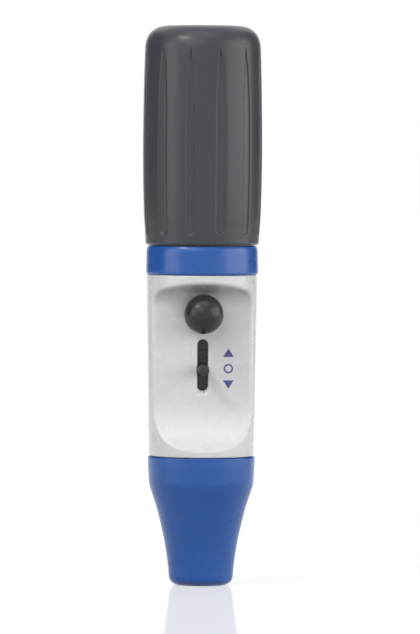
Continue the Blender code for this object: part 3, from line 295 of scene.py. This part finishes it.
def speckled_silicone(name, light, dark, speck, roughness, grain, depth):
    """Matt silicone: soft patches, a fine skin, and a thin scatter of dust."""
    made, shader, place = new_material(name)
    link = made.node_tree.links.new
    body = ramp(made, noise(made, place, 45.0, 4.0), [(0.3, dark), (0.7, light)])
    dust = ramp(made, noise(made, place, 2600.0, 1.0),
                [(0.0, (0.0, 0.0, 0.0)), (0.72, (0.0, 0.0, 0.0)), (0.8, (1.0, 1.0, 1.0))])
    # The colour sockets of a colour mix are its inputs 6 and 7 and its output 2.
    mix = made.node_tree.nodes.new("ShaderNodeMix")
    mix.data_type = "RGBA"
    link(dust, mix.inputs[0])
    link(body, mix.inputs[6])
    mix.inputs[7].default_value = (*speck, 1.0)
    link(mix.outputs[2], shader.inputs["Base Color"])
    link(between(made, noise(made, place, 240.0), *roughness), shader.inputs["Roughness"])
    skin = relief(made, noise(made, place, grain, 2.0), depth, 0.6)
    link(relief(made, noise(made, place, 160.0, 2.0), depth * 8, 0.3, skin), shader.inputs["Normal"])
    shader.inputs["IOR"].default_value = 1.41
    shader.inputs["Sheen Weight"].default_value = 0.03
    shader.inputs["Sheen Roughness"].default_value = 0.5
    return made


def woven_membrane(name):
    """A pale filter sheet with a fine crossed weave."""
    made, shader, place = new_material(name)
    link = made.node_tree.links.new
    heights = []
    for axis in "XY":
        wave = made.node_tree.nodes.new("ShaderNodeTexWave")
        wave.bands_direction = axis
        wave.inputs["Scale"].default_value = 900.0
        link(place, wave.inputs["Vector"])
        heights.append(wave.outputs["Fac"])
    upper = made.node_tree.nodes.new("ShaderNodeMath")
    upper.operation = "MAXIMUM"
    link(heights[0], upper.inputs[0])
    link(heights[1], upper.inputs[1])
    weave = upper.outputs["Value"]
    link(ramp(made, weave, [(0.2, (0.72, 0.71, 0.68)), (0.9, (0.88, 0.87, 0.84))]),
         shader.inputs["Base Color"])
    link(relief(made, weave, 0.05 * MM, 0.7), shader.inputs["Normal"])
    shader.inputs["Roughness"].default_value = 0.85
    return made


def turned_steel(name):
    """Steel with the fine rings that turning leaves."""
    made, shader, place = new_material(name)
    link = made.node_tree.links.new
    rings = made.node_tree.nodes.new("ShaderNodeTexWave")
    rings.bands_direction = "Z"
    rings.inputs["Scale"].default_value = 2500.0
    rings.inputs["Distortion"].default_value = 1.5
    link(place, rings.inputs["Vector"])
    link(between(made, rings.outputs["Fac"], 0.22, 0.34), shader.inputs["Roughness"])
    link(relief(made, rings.outputs["Fac"], 0.004 * MM, 0.4), shader.inputs["Normal"])
    link(ramp(made, noise(made, place, 300.0), [(0.3, (0.5, 0.5, 0.51)), (0.7, (0.62, 0.62, 0.62))]),
         shader.inputs["Base Color"])
    shader.inputs["Metallic"].default_value = 1.0
    return made


looks = {
    "grey_silicone": speckled_silicone("grey_silicone", (0.05, 0.056, 0.065), (0.0435, 0.049, 0.0575),
                                       (0.13, 0.135, 0.145), (0.29, 0.35), 3200.0, 0.005 * MM),
    "dark_silicone": speckled_silicone("dark_silicone", (0.022, 0.023, 0.0255), (0.017, 0.018, 0.0195),
                                       (0.06, 0.06, 0.065), (0.25, 0.3), 3600.0, 0.006 * MM),
    "blue_plastic": moulded("blue_plastic", (0.014, 0.112, 0.45), (0.011, 0.102, 0.415),
                            (0.25, 0.32), 3000.0, 0.008 * MM),
    "white_plastic": moulded("white_plastic", (0.85, 0.848, 0.84), (0.825, 0.823, 0.815),
                             (0.25, 0.29), 2400.0, 0.005 * MM, Subsurface_Weight=0.04),
    "dark_plastic": moulded("dark_plastic", (0.024, 0.024, 0.026), (0.017, 0.017, 0.019),
                            (0.28, 0.38), 3600.0, 0.012 * MM),
    "valve_plastic": moulded("valve_plastic", (0.62, 0.61, 0.58), (0.56, 0.55, 0.52),
                             (0.42, 0.52), 2600.0, 0.01 * MM),
    "seal_rubber": moulded("seal_rubber", (0.02, 0.02, 0.021), (0.013, 0.013, 0.014),
                           (0.5, 0.62), 4000.0, 0.01 * MM),
    "clear_silicone": moulded("clear_silicone", (0.72, 0.74, 0.74), (0.66, 0.68, 0.69),
                              (0.32, 0.42), 2600.0, 0.008 * MM, Transmission_Weight=0.25,
                              Subsurface_Weight=0.2),
    "filter_plastic": moulded("filter_plastic", (0.8, 0.79, 0.76), (0.74, 0.73, 0.7),
                              (0.3, 0.4), 2600.0, 0.008 * MM, Subsurface_Weight=0.1),
    "membrane": woven_membrane("membrane"),
    "steel": turned_steel("steel"),
    "printed_ink": moulded("printed_ink", (0.085, 0.088, 0.3), (0.075, 0.078, 0.27),
                           (0.3, 0.42), 5200.0, 0.003 * MM),
}


# Bellows


def flute_width(height):
    """Half the width of a flute at a height above the bellows' foot."""
    if height <= FLUTE_TAPER_START:
        return FLUTE_HALF_WIDTH
    share = (height - FLUTE_TAPER_START) / (FLUTE_HIGH - FLUTE_TAPER_START)
    return FLUTE_HALF_WIDTH * (1.0 - min(share, 1.0)**2.5)


def flute_distance(across, height):
    """Distance out from a flute's edge, which is round at the foot and pointed at the top."""
    round_centre = FLUTE_LOW + FLUTE_HALF_WIDTH
    if height < round_centre:
        return math.hypot(across, height - round_centre) - FLUTE_HALF_WIDTH
    if height > FLUTE_HIGH:
        return math.hypot(across, height - FLUTE_HIGH)
    return across - flute_width(height)


def column_angle(column, height, radius):
    """Angle from a flute's middle of a column of vertices that follows the flute's edge."""
    floor_columns, flank_columns = 5, 6
    width = max(flute_width(height), 0.3 * MM) if height > FLUTE_LOW else FLUTE_HALF_WIDTH
    inner = max(width - FLUTE_FLANK, 0.3 * width) / radius
    outer = (width + FLUTE_FLANK) / radius
    edge = math.pi / FLUTES
    if column <= floor_columns:
        return inner * column / floor_columns
    if column <= floor_columns + flank_columns:
        return inner + (outer - inner) * (column - floor_columns) / flank_columns
    rest = SECTOR_COLUMNS - floor_columns - flank_columns
    return outer + (edge - outer) * (column - floor_columns - flank_columns) / rest


def make_bellows():
    """The fluted silicone sleeve: one flute's sector is shaped, then turned into twelve."""
    outer = flowing([
        (0.0, 80.4, 3), (6.0, 80.38, 3), (11.0, 80.28, 3), (14.0, 80.1, 3), (15.5, 79.82, 3),
        (16.96, 79.3, 3), (18.17, 78.55, 3), (19.04, 77.8, 3), (19.6, 77.1, 3), (20.08, 76.35, 3),
        (20.47, 75.5, 3), (20.85, 74.3, 3), (21.1, 72.9, 4), (21.2, 71.2, 12), (21.42, 64.0, 12),
        (21.64, 54.0, 10), (21.79, 43.0, 8), (21.83, 33.0, 8), (21.7, 22.0, 7),
        (21.48, 13.5, 4), (21.28, 9.0, 8), (21.1, 6.8, 14), (20.93, 4.0, 6), (20.8, 2.4, 1)])
    outer += arc((19.7, 1.1), 1.1, 0, -90, 6)
    inner = in_metres((18.2, 0.0), (18.2, 12.0), (18.7, 15.0), (18.85, 34.0), (18.5, 66.0),
                      (17.0, 72.0), (13.0, 76.6), (6.0, 77.3), (0.0, 77.35))
    sector = bmesh.new()
    bmesh.ops.spin(sector, geom=outline_of(sector, outer + inner, closed=False), cent=(0, 0, 0),
                   axis=(0, 0, 1), dvec=(0, 0, 0), angle=math.tau / FLUTES,
                   steps=2 * SECTOR_COLUMNS)
    half = math.pi / FLUTES
    axis_radius, narrowest, skin_radius = 0.5 * MM, 15.0 * MM, 20.0 * MM
    for point in sector.verts:
        radius, height = math.hypot(point.co.x, point.co.y), point.co.z
        if radius < axis_radius:
            continue
        side = math.atan2(point.co.y, point.co.x) - half
        column = round(abs(side) / half * SECTOR_COLUMNS)
        angle = column_angle(column, height, max(radius, narrowest))
        if radius > skin_radius:
            into = 0.5 - flute_distance(angle * radius, height) / (2 * FLUTE_FLANK)
            radius -= FLUTE_DEPTH * smooth_share(into)
        turn = half + math.copysign(angle, side)
        point.co = (radius * math.cos(turn), radius * math.sin(turn), height)
    bmesh.ops.spin(sector, geom=sector.verts[:] + sector.edges[:] + sector.faces[:],
                   cent=(0, 0, 0), axis=(0, 0, 1), dvec=(0, 0, 0), angle=math.tau,
                   steps=FLUTES, use_duplicate=True)
    bmesh.ops.remove_doubles(sector, verts=sector.verts, dist=0.002 * MM)
    bmesh.ops.translate(sector, vec=(0, 0, BELLOWS_LOW), verts=sector.verts)
    piece(sector, "fluted_bellows", "housing", looks["grey_silicone"], "grey_silicone",
          "suction_bellows", crease=60)


# Collar, nose and adapter


def make_collar():
    """The blue ring between housing and bellows, with softly rounded edges."""
    outline = (arc((19.6, 124.0), 0.3, 90, 60, 2)
               + flowing([(19.85, 124.15, 4), (20.05, 123.75, 4), (20.25, 123.15, 4),
                          (20.36, 122.3, 4), (20.4, 121.0, 5), (20.43, 118.5, 4), (20.5, 115.8, 3),
                          (20.5, 114.8, 3), (20.45, 114.38, 3), (20.25, 114.0, 3),
                          (19.9, 113.86, 1)])
               + in_metres((19.6, 113.86), (19.6, 116.7), (18.2, 116.7), (18.2, 124.3)))
    piece(turned(outline, 192, closed=True), "collar_band", "housing", looks["blue_plastic"],
          "blue_plastic", "collar_ring")


def make_nose():
    """The blue cone that screws onto the housing, with a soft shoulder and a rounded end."""
    outline = (arc((19.35, 46.8), 0.3, 90, 0, 4)
               + flowing([(19.64, 46.6, 5), (19.55, 43.5, 4), (19.4, 41.0, 4), (19.27, 38.7, 3),
                          (19.14, 37.4, 4), (18.9, 36.3, 4), (18.56, 35.2, 3), (18.2, 34.1, 3),
                          (17.45, 31.9, 4), (16.4, 28.6, 4), (15.25, 24.2, 4), (14.22, 19.8, 4),
                          (13.3, 15.4, 4), (12.6, 11.0, 3), (12.15, 7.7, 3), (11.86, 5.0, 2),
                          (11.76, 3.4, 3), (11.6, 2.5, 3), (11.2, 1.6, 3), (10.5, 0.85, 3),
                          (9.5, 0.3, 3), (8.4, 0.0, 1)])
               + arc((6.9, 0.5), 0.5, 270, 180, 4)
               + in_metres((6.4, 1.5), (9.8, 1.5), (9.8, 5.0), (10.3, 7.7), (10.7, 11.0),
                           (12.2, 19.8), (14.4, 28.6), (16.2, 34.0), (16.2, 37.9), (16.8, 37.9))
               + in_metres((16.8, 46.6), (17.1, 47.1)))
    piece(turned(outline, 192, closed=True), "nose_shell", "nose", looks["blue_plastic"],
          "blue_plastic", "nose_cone")


def make_adapter():
    """The silicone adapter, whose bore narrows past two soft lips."""
    bore = flowing([(5.9, 1.8, 2), (5.6, 2.1, 3), (5.2, 5.6, 3), (4.95, 8.0, 3), (4.66, 8.7, 3),
                    (4.92, 9.4, 3), (4.62, 12.6, 3), (4.44, 15.0, 3), (4.1, 15.6, 3),
                    (4.36, 16.4, 3), (3.9, 21.0, 3), (3.6, 24.4, 2), (3.5, 24.8, 1)])
    outline = (bore + in_metres((2.3, 24.8), (2.3, 34.0), (5.6, 34.0), (5.6, 24.8), (6.8, 10.8),
                                (7.9, 10.8), (9.6, 18.0), (11.3, 26.0), (13.6, 33.7), (15.8, 33.7),
                                (14.0, 28.6), (11.8, 19.8), (10.3, 11.0), (9.5, 5.0), (9.4, 2.0),
                                (9.1, 1.8)))
    piece(turned(outline, 96, closed=True), "lipped_adapter", "adapter", looks["clear_silicone"],
          "clear_silicone", "pipette_adapter")


# Housing


def scoop_distance(y, z):
    """Distance inside the housing's side of the scoop: below zero in the scoop's hollow."""
    panel = y + PANEL_DEPTH
    if z < SCOOP_LOW_Z:
        return math.hypot(panel + SCOOP_LOW_RADIUS, z - SCOOP_LOW_Z) - SCOOP_LOW_RADIUS
    roof = (z - SCOOP_ROOF_Z + SCOOP_ROOF_RISE * panel) / math.hypot(1.0, SCOOP_ROOF_RISE)
    panel += SCOOP_ROOF_RADIUS
    roof += SCOOP_ROOF_RADIUS
    corner = math.hypot(max(panel, 0.0), max(roof, 0.0))
    return corner + min(max(panel, roof), 0.0) - SCOOP_ROOF_RADIUS


def scooped_y(x, z, radius, inset, softness):
    """Where the scooped surface lies at a place across and up the housing's front."""
    low, high = -math.sqrt(max(radius**2 - x**2, 0.0)) - 0.01 * MM, 0.0
    for _ in range(24):
        y = (low + high) / 2
        round_side = math.hypot(x, y) - radius
        scoop_side = inset - scoop_distance(y, z)
        meet = max(softness - abs(round_side - scoop_side), 0.0)
        outside = max(round_side, scoop_side) + meet**2 / (4 * softness)
        if outside > 0.0:
            low = y
        else:
            high = y
    return (low + high) / 2


def slot_cutter():
    """The lever slot with a bevelled rim, whose lower end slants up as a ramp."""
    shape = bmesh.new()
    ring = bmesh.ops.create_circle(shape, segments=48, radius=1.0)["verts"]
    directions = [Vector((point.co.x, 0.0, point.co.y)) for point in ring]
    front, back, overshoot = -PANEL_DEPTH, -PANEL_DEPTH + HOUSING_WALL, 0.6 * MM
    sections = [(front - overshoot, SLOT_RIM, 0.0), (front, SLOT_RIM, 0.0)]
    for step in (1, 2, 3, 4):
        inward = SLOT_RIM * math.sin(step / 4 * math.pi / 2)
        sections.append((front + inward, SLOT_RIM - inward, SLOT_RAMP * inward / HOUSING_WALL))
    sections.append((back, 0.0, SLOT_RAMP))
    sections.append((back + overshoot, 0.0, SLOT_RAMP))

    def set_ring(points, section):
        """Gives a ring the slot's outline at a depth y, grown and with its lower end raised."""
        y, grown, raised = section
        for point, direction in zip(points, directions):
            end = SLOT_HIGH - SLOT_RADIUS if direction.z > 0 else SLOT_LOW + raised + SLOT_RADIUS
            point.co = Vector((0, y, end)) + direction * (SLOT_RADIUS + grown)

    set_ring(ring, sections[0])
    edges = shape.edges[:]
    bmesh.ops.contextual_create(shape, geom=edges)
    points = ring
    for section in sections[1:]:
        made = bmesh.ops.extrude_edge_only(shape, edges=edges)["geom"]
        edges = [item for item in made if isinstance(item, bmesh.types.BMEdge)
                 and all(corner in made for corner in item.verts)]
        fresh = [item for item in made if isinstance(item, bmesh.types.BMVert)]
        fresh.sort(key=lambda point: min(range(len(points)),
                                         key=lambda i: (points[i].co - point.co).length))
        set_ring(fresh, section)
        points = fresh
    bmesh.ops.contextual_create(shape, geom=edges)
    return shape


def bulb_seat_cutter():
    """The bulb's ball swept along its travel, with a fit all round."""
    shape = bmesh.new()
    bmesh.ops.create_uvsphere(shape, u_segments=64, v_segments=48, radius=BULB_RADIUS + FIT)
    for point in shape.verts:
        if point.co.z < -0.01 * MM:
            point.co.z -= BULB_TRAVEL
    face_front(shape, (0, BULB_Y, BULB_Z))
    return shape


def screw_hole_cutter(angle):
    """A clearance hole for one floor screw."""
    shape = bmesh.new()
    bmesh.ops.create_cone(shape, cap_ends=True, segments=24, radius1=SCREW_HOLE_RADIUS,
                          radius2=SCREW_HOLE_RADIUS, depth=4.0 * MM)
    place = (SCREW_CIRCLE_RADIUS * math.cos(angle), SCREW_CIRCLE_RADIUS * math.sin(angle), 47.8 * MM)
    bmesh.ops.translate(shape, vec=place, verts=shape.verts)
    return shape


def make_housing():
    """The white shell: its turned wall is pressed in to the scoop, then cut for the controls."""
    outer = (arc((19.66, 113.24), 0.54, 90, 0, 8)[:-1]
             + flowing([(20.2, 113.24, 5), (20.19, 111.9, 12), (20.18, 108.9, 24),
                        (20.15, 103.3, 12), (20.0, 92.0, 14), (19.9, 80.0, 18), (19.73, 66.0, 14),
                        (19.55, 56.0, 16), (19.45, 51.5, 12), (19.38, 48.6, 3), (19.36, 47.8, 1)])
             + arc((18.96, 47.8), 0.4, 0, -90, 5)[1:])
    spigot = in_metres((16.5, 47.4), (16.5, 45.15), (15.2, 45.15), (15.2, 43.85), (16.5, 43.85),
                       (16.5, 38.6), (16.1, 38.2), (14.7, 38.2), (14.7, 46.8), (8.0, 46.8),
                       (8.0, 48.8))
    inner = flowing([(17.6, 48.8, 6), (17.75, 58.0, 10), (18.0, 75.0, 10), (18.2, 92.0, 8),
                     (18.26, 102.0, 20), (18.32, 110.5, 4), (18.38, 112.6, 1), (18.4, 113.6, 1)])
    shape = bmesh.new()
    # The front half, which is pressed in, gets finer steps than the back.
    for angle, steps in ((-math.pi, 200), (math.pi, 56)):
        bmesh.ops.spin(shape, geom=outline_of(shape, outer + spigot + inner), cent=(0, 0, 0),
                       axis=(0, 0, 1), dvec=(0, 0, 0), angle=angle, steps=steps)
    bmesh.ops.remove_doubles(shape, verts=shape.verts, dist=0.001 * MM)
    for point in shape.verts:
        x, y, z = point.co
        radius = math.hypot(x, y)
        on_front = y <= -5.0 * MM and 48.0 * MM < z < 112.8 * MM
        on_outside = radius > 18.9 * MM
        if not on_front or radius < 17.0 * MM:
            continue
        # The scoop's edge is softest half way up.
        high_share = smooth_share((z - 92.0 * MM) / (12.0 * MM))
        low_share = smooth_share((66.0 * MM - z) / (14.0 * MM))
        softness = (1.5 - 0.35 * high_share - 0.9 * low_share) * MM
        inset = 0.0 if on_outside else HOUSING_WALL
        point.co.y = max(y, scooped_y(x, z, radius, inset, softness))
    shape = carved(shape, slot_cutter(), bulb_seat_cutter(),
                   *[screw_hole_cutter(math.pi / 2 + i * math.tau / 3) for i in range(3)])
    piece(shape, "scooped_housing", "housing", looks["white_plastic"], "white_plastic",
          "housing_shell", crease=42)


# Controls, marks and seals


def make_bulb():
    """The soft ball on its neck."""
    ball, neck = BULB_RADIUS / MM, 4.2
    neck_angle = math.degrees(math.acos(neck / ball))
    outline = [(0.0, ball * MM)] + arc((0, 0), ball, 87, -neck_angle, 40)
    outline += in_metres((neck, -9.35), (2.8, -9.35), (2.8, -5.0), (4.8, -3.2), (5.7, 0.0),
                         (4.6, 3.4), (0.0, 5.8))
    shape = turned(outline, 96)
    face_front(shape, (0, BULB_Y, BULB_Z))
    piece(shape, "soft_bulb", "bulb", looks["dark_silicone"], "dark_silicone", "blowout_bulb")


def make_knob():
    """The lever's thumb peg, whose upper side has fine ridges along it."""
    outline = ([(0.0, 6.8 * MM)] + in_metres((0.9, 6.78), (1.25, 6.7)) + arc((1.3, 6.0), 0.7, 86, 0, 8)
               + flowing([(2.0, 5.9, 6), (1.98, 3.0, 6), (1.98, 0.25, 1)])
               + in_metres((1.75, 0.0), (0.0, 0.0)))
    shape = turned(outline, 192)
    ridges_per_turn, groove_share, smooth_radius = 12, 0.17, 1.2 * MM
    for point in shape.verts:
        radius, angle = math.hypot(point.co.x, point.co.y), math.atan2(point.co.y, point.co.x)
        off_top = abs(angle - math.pi / 2)
        if radius < smooth_radius or off_top > math.radians(64):
            continue
        ridge = 0.5 + 0.5 * math.cos(off_top * ridges_per_turn)
        fade = smooth_share((radius - smooth_radius) / (0.6 * MM))
        share = 1.0 - groove_share * fade * (1.0 - ridge**0.6)
        point.co.x *= share
        point.co.y *= share
    face_front(shape, (0, KNOB_ROOT_Y, LEVER_Z))
    piece(shape, "ridged_knob", "lever", looks["dark_plastic"], "dark_plastic", "lever_knob",
          crease=50)


def make_marks():
    """The printed marks beside the slot: a triangle each way and a ring between them."""
    for name, height, turn in (("up_mark", 84.9 * MM, 0.0), ("down_mark", 74.3 * MM, math.pi)):
        shape = bmesh.new()
        bmesh.ops.create_cone(shape, cap_ends=True, segments=3, radius1=2.0 * MM, radius2=2.0 * MM,
                              depth=0.05 * MM)
        bmesh.ops.scale(shape, vec=(1.13, 1.02, 1.0), verts=shape.verts)
        bmesh.ops.rotate(shape, cent=(0, 0, 0), verts=shape.verts,
                         matrix=Matrix.Rotation(turn, 3, "Z"))
        face_front(shape, (MARK_X, MARK_Y, height))
        piece(shape, name, "housing", looks["printed_ink"], "white_plastic")
    outline = in_metres((1.17, 0.025), (1.7, 0.025), (1.7, -0.025), (1.17, -0.025))
    shape = turned(outline, 72, closed=True)
    face_front(shape, (MARK_X, MARK_Y, 79.6 * MM))
    piece(shape, "ring_mark", "housing", looks["printed_ink"], "white_plastic")


def make_slot_folds():
    """Two soft folded strips that close the slot's slit above and below the lever's blade."""
    ripple, ripples = 0.015 * MM, 3
    for name, side in (("upper_fold", 1), ("lower_fold", -1)):
        near, far = LEVER_Z + side * BLADE_HALF_HEIGHT, LEVER_Z + side * SLIT_HALF_LENGTH
        length = abs(far - near)
        shape = bmesh.new()
        bmesh.ops.create_grid(shape, x_segments=6, y_segments=48, size=0.5)
        bmesh.ops.scale(shape, vec=(FOLD_WIDTH, length, 1.0), verts=shape.verts)
        for point in shape.verts:
            point.co.z = ripple * math.cos(point.co.y / length * math.tau * ripples)
        bmesh.ops.solidify(shape, geom=shape.faces[:], thickness=0.3 * MM)
        face_front(shape, (0, FOLD_Y, (near + far) / 2))
        made = piece(shape, name, None, looks["dark_silicone"], "dark_silicone")
        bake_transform(made)


def make_spigot_seal():
    """The round seal on the housing's spigot, which shows when the nose is unscrewed."""
    shape = turned(arc((16.0, 44.5), 0.5, 0, 345, 23), 96, closed=True)
    piece(shape, "spigot_seal", "housing", looks["seal_rubber"], "seal_rubber", "nose_seal")


def dress_nodes():
    """Gives every CAD node the looks of its slot, which its packed material is named after."""
    for node in nodes.values():
        mesh = node.data
        slot = mesh.materials[0].name
        mesh.materials.clear()
        mesh.materials.append(looks[slot])


def squeeze_springs():
    """Gives each valve's spring a mesh of its own."""
    for name, closed_end in (("aspirate_spring", 105.05 * MM), ("dispense_spring", 53.55 * MM)):
        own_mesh(nodes[name])


# Studio


def light_path_white(tree, low_shader, white_shader):
    """Mixes in a white shader for what the camera sees straight on, mirrored or through."""
    path = tree.nodes.new("ShaderNodeLightPath")
    both = tree.nodes.new("ShaderNodeMath")
    both.operation = "MAXIMUM"
    tree.links.new(path.outputs["Is Camera Ray"], both.inputs[0])
    tree.links.new(path.outputs["Is Glossy Ray"], both.inputs[1])
    every = tree.nodes.new("ShaderNodeMath")
    every.operation = "MAXIMUM"
    tree.links.new(both.outputs["Value"], every.inputs[0])
    tree.links.new(path.outputs["Is Transmission Ray"], every.inputs[1])
    mix = tree.nodes.new("ShaderNodeMixShader")
    tree.links.new(every.outputs["Value"], mix.inputs["Fac"])
    tree.links.new(low_shader, mix.inputs[1])
    tree.links.new(white_shader, mix.inputs[2])
    return mix.outputs["Shader"]


def make_world():
    """A dim even light that looks white behind the object and in its gloss."""
    world = bpy.data.worlds.new("studio")
    world.use_nodes = True
    bpy.context.scene.world = world
    tree = world.node_tree
    dim = tree.nodes["Background"]
    dim.inputs["Color"].default_value = (1.0, 1.0, 1.0, 1.0)
    dim.inputs["Strength"].default_value = 0.11
    white = tree.nodes.new("ShaderNodeBackground")
    white.inputs["Color"].default_value = (1.0, 1.0, 1.0, 1.0)
    white.inputs["Strength"].default_value = 1.0
    shader = light_path_white(tree, dim.outputs["Background"], white.outputs["Background"])
    tree.links.new(shader, tree.nodes["World Output"].inputs["Surface"])


def towards(azimuth, elevation):
    """Unit direction from the controller, for an azimuth from its front towards +X."""
    turn, rise = math.radians(azimuth), math.radians(elevation)
    return Vector((math.sin(turn) * math.cos(rise), -math.cos(turn) * math.cos(rise),
                   math.sin(rise)))


def stand_facing(made, azimuth, elevation, distance):
    """Stands a light or card off in a direction, facing the controller's middle."""
    back = towards(azimuth, elevation)
    made.location = MIDDLE + back * distance
    made.rotation_mode = "QUATERNION"
    made.rotation_quaternion = (-back).to_track_quat("-Z", "Y")
    bpy.context.scene.collection.objects.link(made)


def softbox(name, azimuth, elevation, distance, width, height, brightness):
    """A soft area light whose face has a brightness, where 1 is white."""
    lamp = bpy.data.lights.new(name, "AREA")
    lamp.shape = "RECTANGLE"
    lamp.size, lamp.size_y = width, height
    lamp.energy = brightness * math.pi * width * height
    made = bpy.data.objects.new(name, lamp)
    stand_facing(made, azimuth, elevation, distance)
    return made


def dark_card(name, azimuth, elevation, distance, width, height):
    """A dark card that is seen in gloss only: it darkens one side, and casts no shadow."""
    shape = bmesh.new()
    bmesh.ops.create_grid(shape, x_segments=1, y_segments=1, size=0.5)
    bmesh.ops.scale(shape, vec=(width, height, 1.0), verts=shape.verts)
    mesh = bpy.data.meshes.new(name)
    shape.to_mesh(mesh)
    shape.free()
    mesh.materials.append(looks["dark_plastic"])
    card = bpy.data.objects.new(name, mesh)
    card.visible_camera = False
    card.visible_diffuse = False
    card.visible_shadow = False
    stand_facing(card, azimuth, elevation, distance)


def make_floor():
    """A white floor with a faint mirror in it, which fades as the view gets steeper."""
    shape = bmesh.new()
    bmesh.ops.create_grid(shape, x_segments=2, y_segments=2, size=30.0)
    mesh = bpy.data.meshes.new("floor")
    shape.to_mesh(mesh)
    shape.free()
    floor = bpy.data.objects.new("floor", mesh)
    bpy.context.scene.collection.objects.link(floor)

    made = bpy.data.materials.new("floor")
    made.use_nodes = True
    tree = made.node_tree
    tree.nodes.remove(tree.nodes["Principled BSDF"])
    facing = tree.nodes.new("ShaderNodeLayerWeight")
    facing.inputs["Blend"].default_value = 0.5

    def by_steepness(steep, level):
        """A value that goes from steep's, seen from 20 degrees up, to level's at 5 degrees."""
        scale = tree.nodes.new("ShaderNodeMapRange")
        scale.inputs["From Min"].default_value = 0.66
        scale.inputs["From Max"].default_value = 0.92
        scale.inputs["To Min"].default_value = steep
        scale.inputs["To Max"].default_value = level
        tree.links.new(facing.outputs["Facing"], scale.inputs["Value"])
        return scale.outputs["Result"]

    paint = tree.nodes.new("ShaderNodeBsdfDiffuse")
    paint.inputs["Color"].default_value = (0.5, 0.5, 0.5, 1.0)
    glow = tree.nodes.new("ShaderNodeEmission")
    glow.inputs["Color"].default_value = (1.0, 1.0, 1.0, 1.0)
    coordinates = tree.nodes.new("ShaderNodeTexCoord")
    reach = tree.nodes.new("ShaderNodeVectorMath")
    reach.operation = "LENGTH"
    tree.links.new(coordinates.outputs["Object"], reach.inputs[0])
    # The glow grows away from the object: for the camera, and less for what gloss shows, where the
    # dimmer floor near the object is painted shade.
    brighten = tree.nodes.new("ShaderNodeMapRange")
    brighten.inputs["From Min"].default_value = 0.45
    brighten.inputs["From Max"].default_value = 1.1
    tree.links.new(by_steepness(0.54, 0.8), brighten.inputs["To Min"])
    brighten.inputs["To Max"].default_value = 1.15
    tree.links.new(reach.outputs["Value"], brighten.inputs["Value"])
    # Painted shade: what gloss shows of the floor glows dimmer near the object, as though the object
    # shaded it.
    gloss_painted_shade = tree.nodes.new("ShaderNodeMapRange")
    gloss_painted_shade.inputs["From Min"].default_value = 0.05
    gloss_painted_shade.inputs["From Max"].default_value = 0.6
    gloss_painted_shade.inputs["To Min"].default_value = 0.48
    gloss_painted_shade.inputs["To Max"].default_value = 1.0
    tree.links.new(reach.outputs["Value"], gloss_painted_shade.inputs["Value"])
    # The numbers of a plain mix are its inputs 2 and 3 and its output 0.
    path = tree.nodes.new("ShaderNodeLightPath")
    strength = tree.nodes.new("ShaderNodeMix")
    tree.links.new(path.outputs["Is Camera Ray"], strength.inputs[0])
    tree.links.new(gloss_painted_shade.outputs["Result"], strength.inputs[2])
    tree.links.new(brighten.outputs["Result"], strength.inputs[3])
    tree.links.new(strength.outputs[0], glow.inputs["Strength"])
    lit = tree.nodes.new("ShaderNodeAddShader")
    tree.links.new(paint.outputs["BSDF"], lit.inputs[0])
    tree.links.new(glow.outputs["Emission"], lit.inputs[1])
    dull = tree.nodes.new("ShaderNodeBsdfDiffuse")
    dull.inputs["Color"].default_value = (0.28, 0.28, 0.28, 1.0)
    seen = light_path_white(tree, dull.outputs["BSDF"], lit.outputs["Shader"])
    mirror = tree.nodes.new("ShaderNodeBsdfGlossy")
    mirror.inputs["Roughness"].default_value = 0.09
    share = tree.nodes.new("ShaderNodeMath")
    share.operation = "MULTIPLY"
    tree.links.new(path.outputs["Is Camera Ray"], share.inputs[0])
    tree.links.new(by_steepness(0.0, 0.4), share.inputs[1])
    mix = tree.nodes.new("ShaderNodeMixShader")
    tree.links.new(share.outputs["Value"], mix.inputs["Fac"])
    tree.links.new(seen, mix.inputs[1])
    tree.links.new(mirror.outputs["BSDF"], mix.inputs[2])
    tree.links.new(mix.outputs["Shader"], tree.nodes["Material Output"].inputs["Surface"])
    mesh.materials.append(made)


def place_camera():
    """The photograph's view: almost level, and a little to the left of the panel's front."""
    azimuth, elevation, distance = -3.0, 1.75, 2.4
    back = towards(azimuth, elevation)
    right = towards(azimuth + 90.0, 0.0)
    target = Vector((0.0, 0.0, 98.2 * MM)) + right * 2.98 * MM
    lens = bpy.data.cameras.new("camera")
    lens.lens = 372.0
    lens.sensor_width = 36.0
    lens.clip_start, lens.clip_end = 0.1, 100.0
    camera = bpy.data.objects.new("camera", lens)
    camera.location = target + back * distance
    camera.rotation_mode = "QUATERNION"
    roll = Matrix.Rotation(math.radians(0.25), 4, "Z").to_quaternion()
    camera.rotation_quaternion = (-back).to_track_quat("-Z", "Y") @ roll
    bpy.context.scene.collection.objects.link(camera)
    bpy.context.scene.camera = camera


def make_studio():
    """Camera, world, floor, softboxes, fills that light without gloss, and dark cards."""
    place_camera()
    make_world()
    make_floor()
    softbox("main", -24, 30, 1.0, 0.7, 0.5, 1.6)
    softbox("key", -51, 46, 1.0, 0.26, 0.18, 15.0)
    softbox("top", -10, 68, 1.1, 0.8, 0.7, 1.3)
    softbox("left_wall", -68, 5, 1.3, 0.75, 1.3, 1.9)
    softbox("right_wall", 74, 3, 1.3, 1.45, 1.4, 2.25)
    for name, azimuth, distance, brightness in (("front_fill", 30, 2.6, 1.2),
                                                ("back_fill", 155, 2.2, 1.7),
                                                ("far_fill", -150, 2.2, 1.7)):
        fill = softbox(name, azimuth, 12, distance, 2.4, 1.6, brightness)
        fill.visible_glossy = False
    dark_card("left_card", -120, 5, 1.2, 1.6, 1.6)
    dark_card("right_card", 128, 5, 1.2, 0.95, 1.6)
    bpy.context.scene.view_settings.view_transform = "Standard"


make_studio()
dress_nodes()
squeeze_springs()
make_bellows()
make_collar()
make_housing()
make_nose()
make_adapter()
make_bulb()
make_knob()
make_marks()
make_slot_folds()
make_spigot_seal()
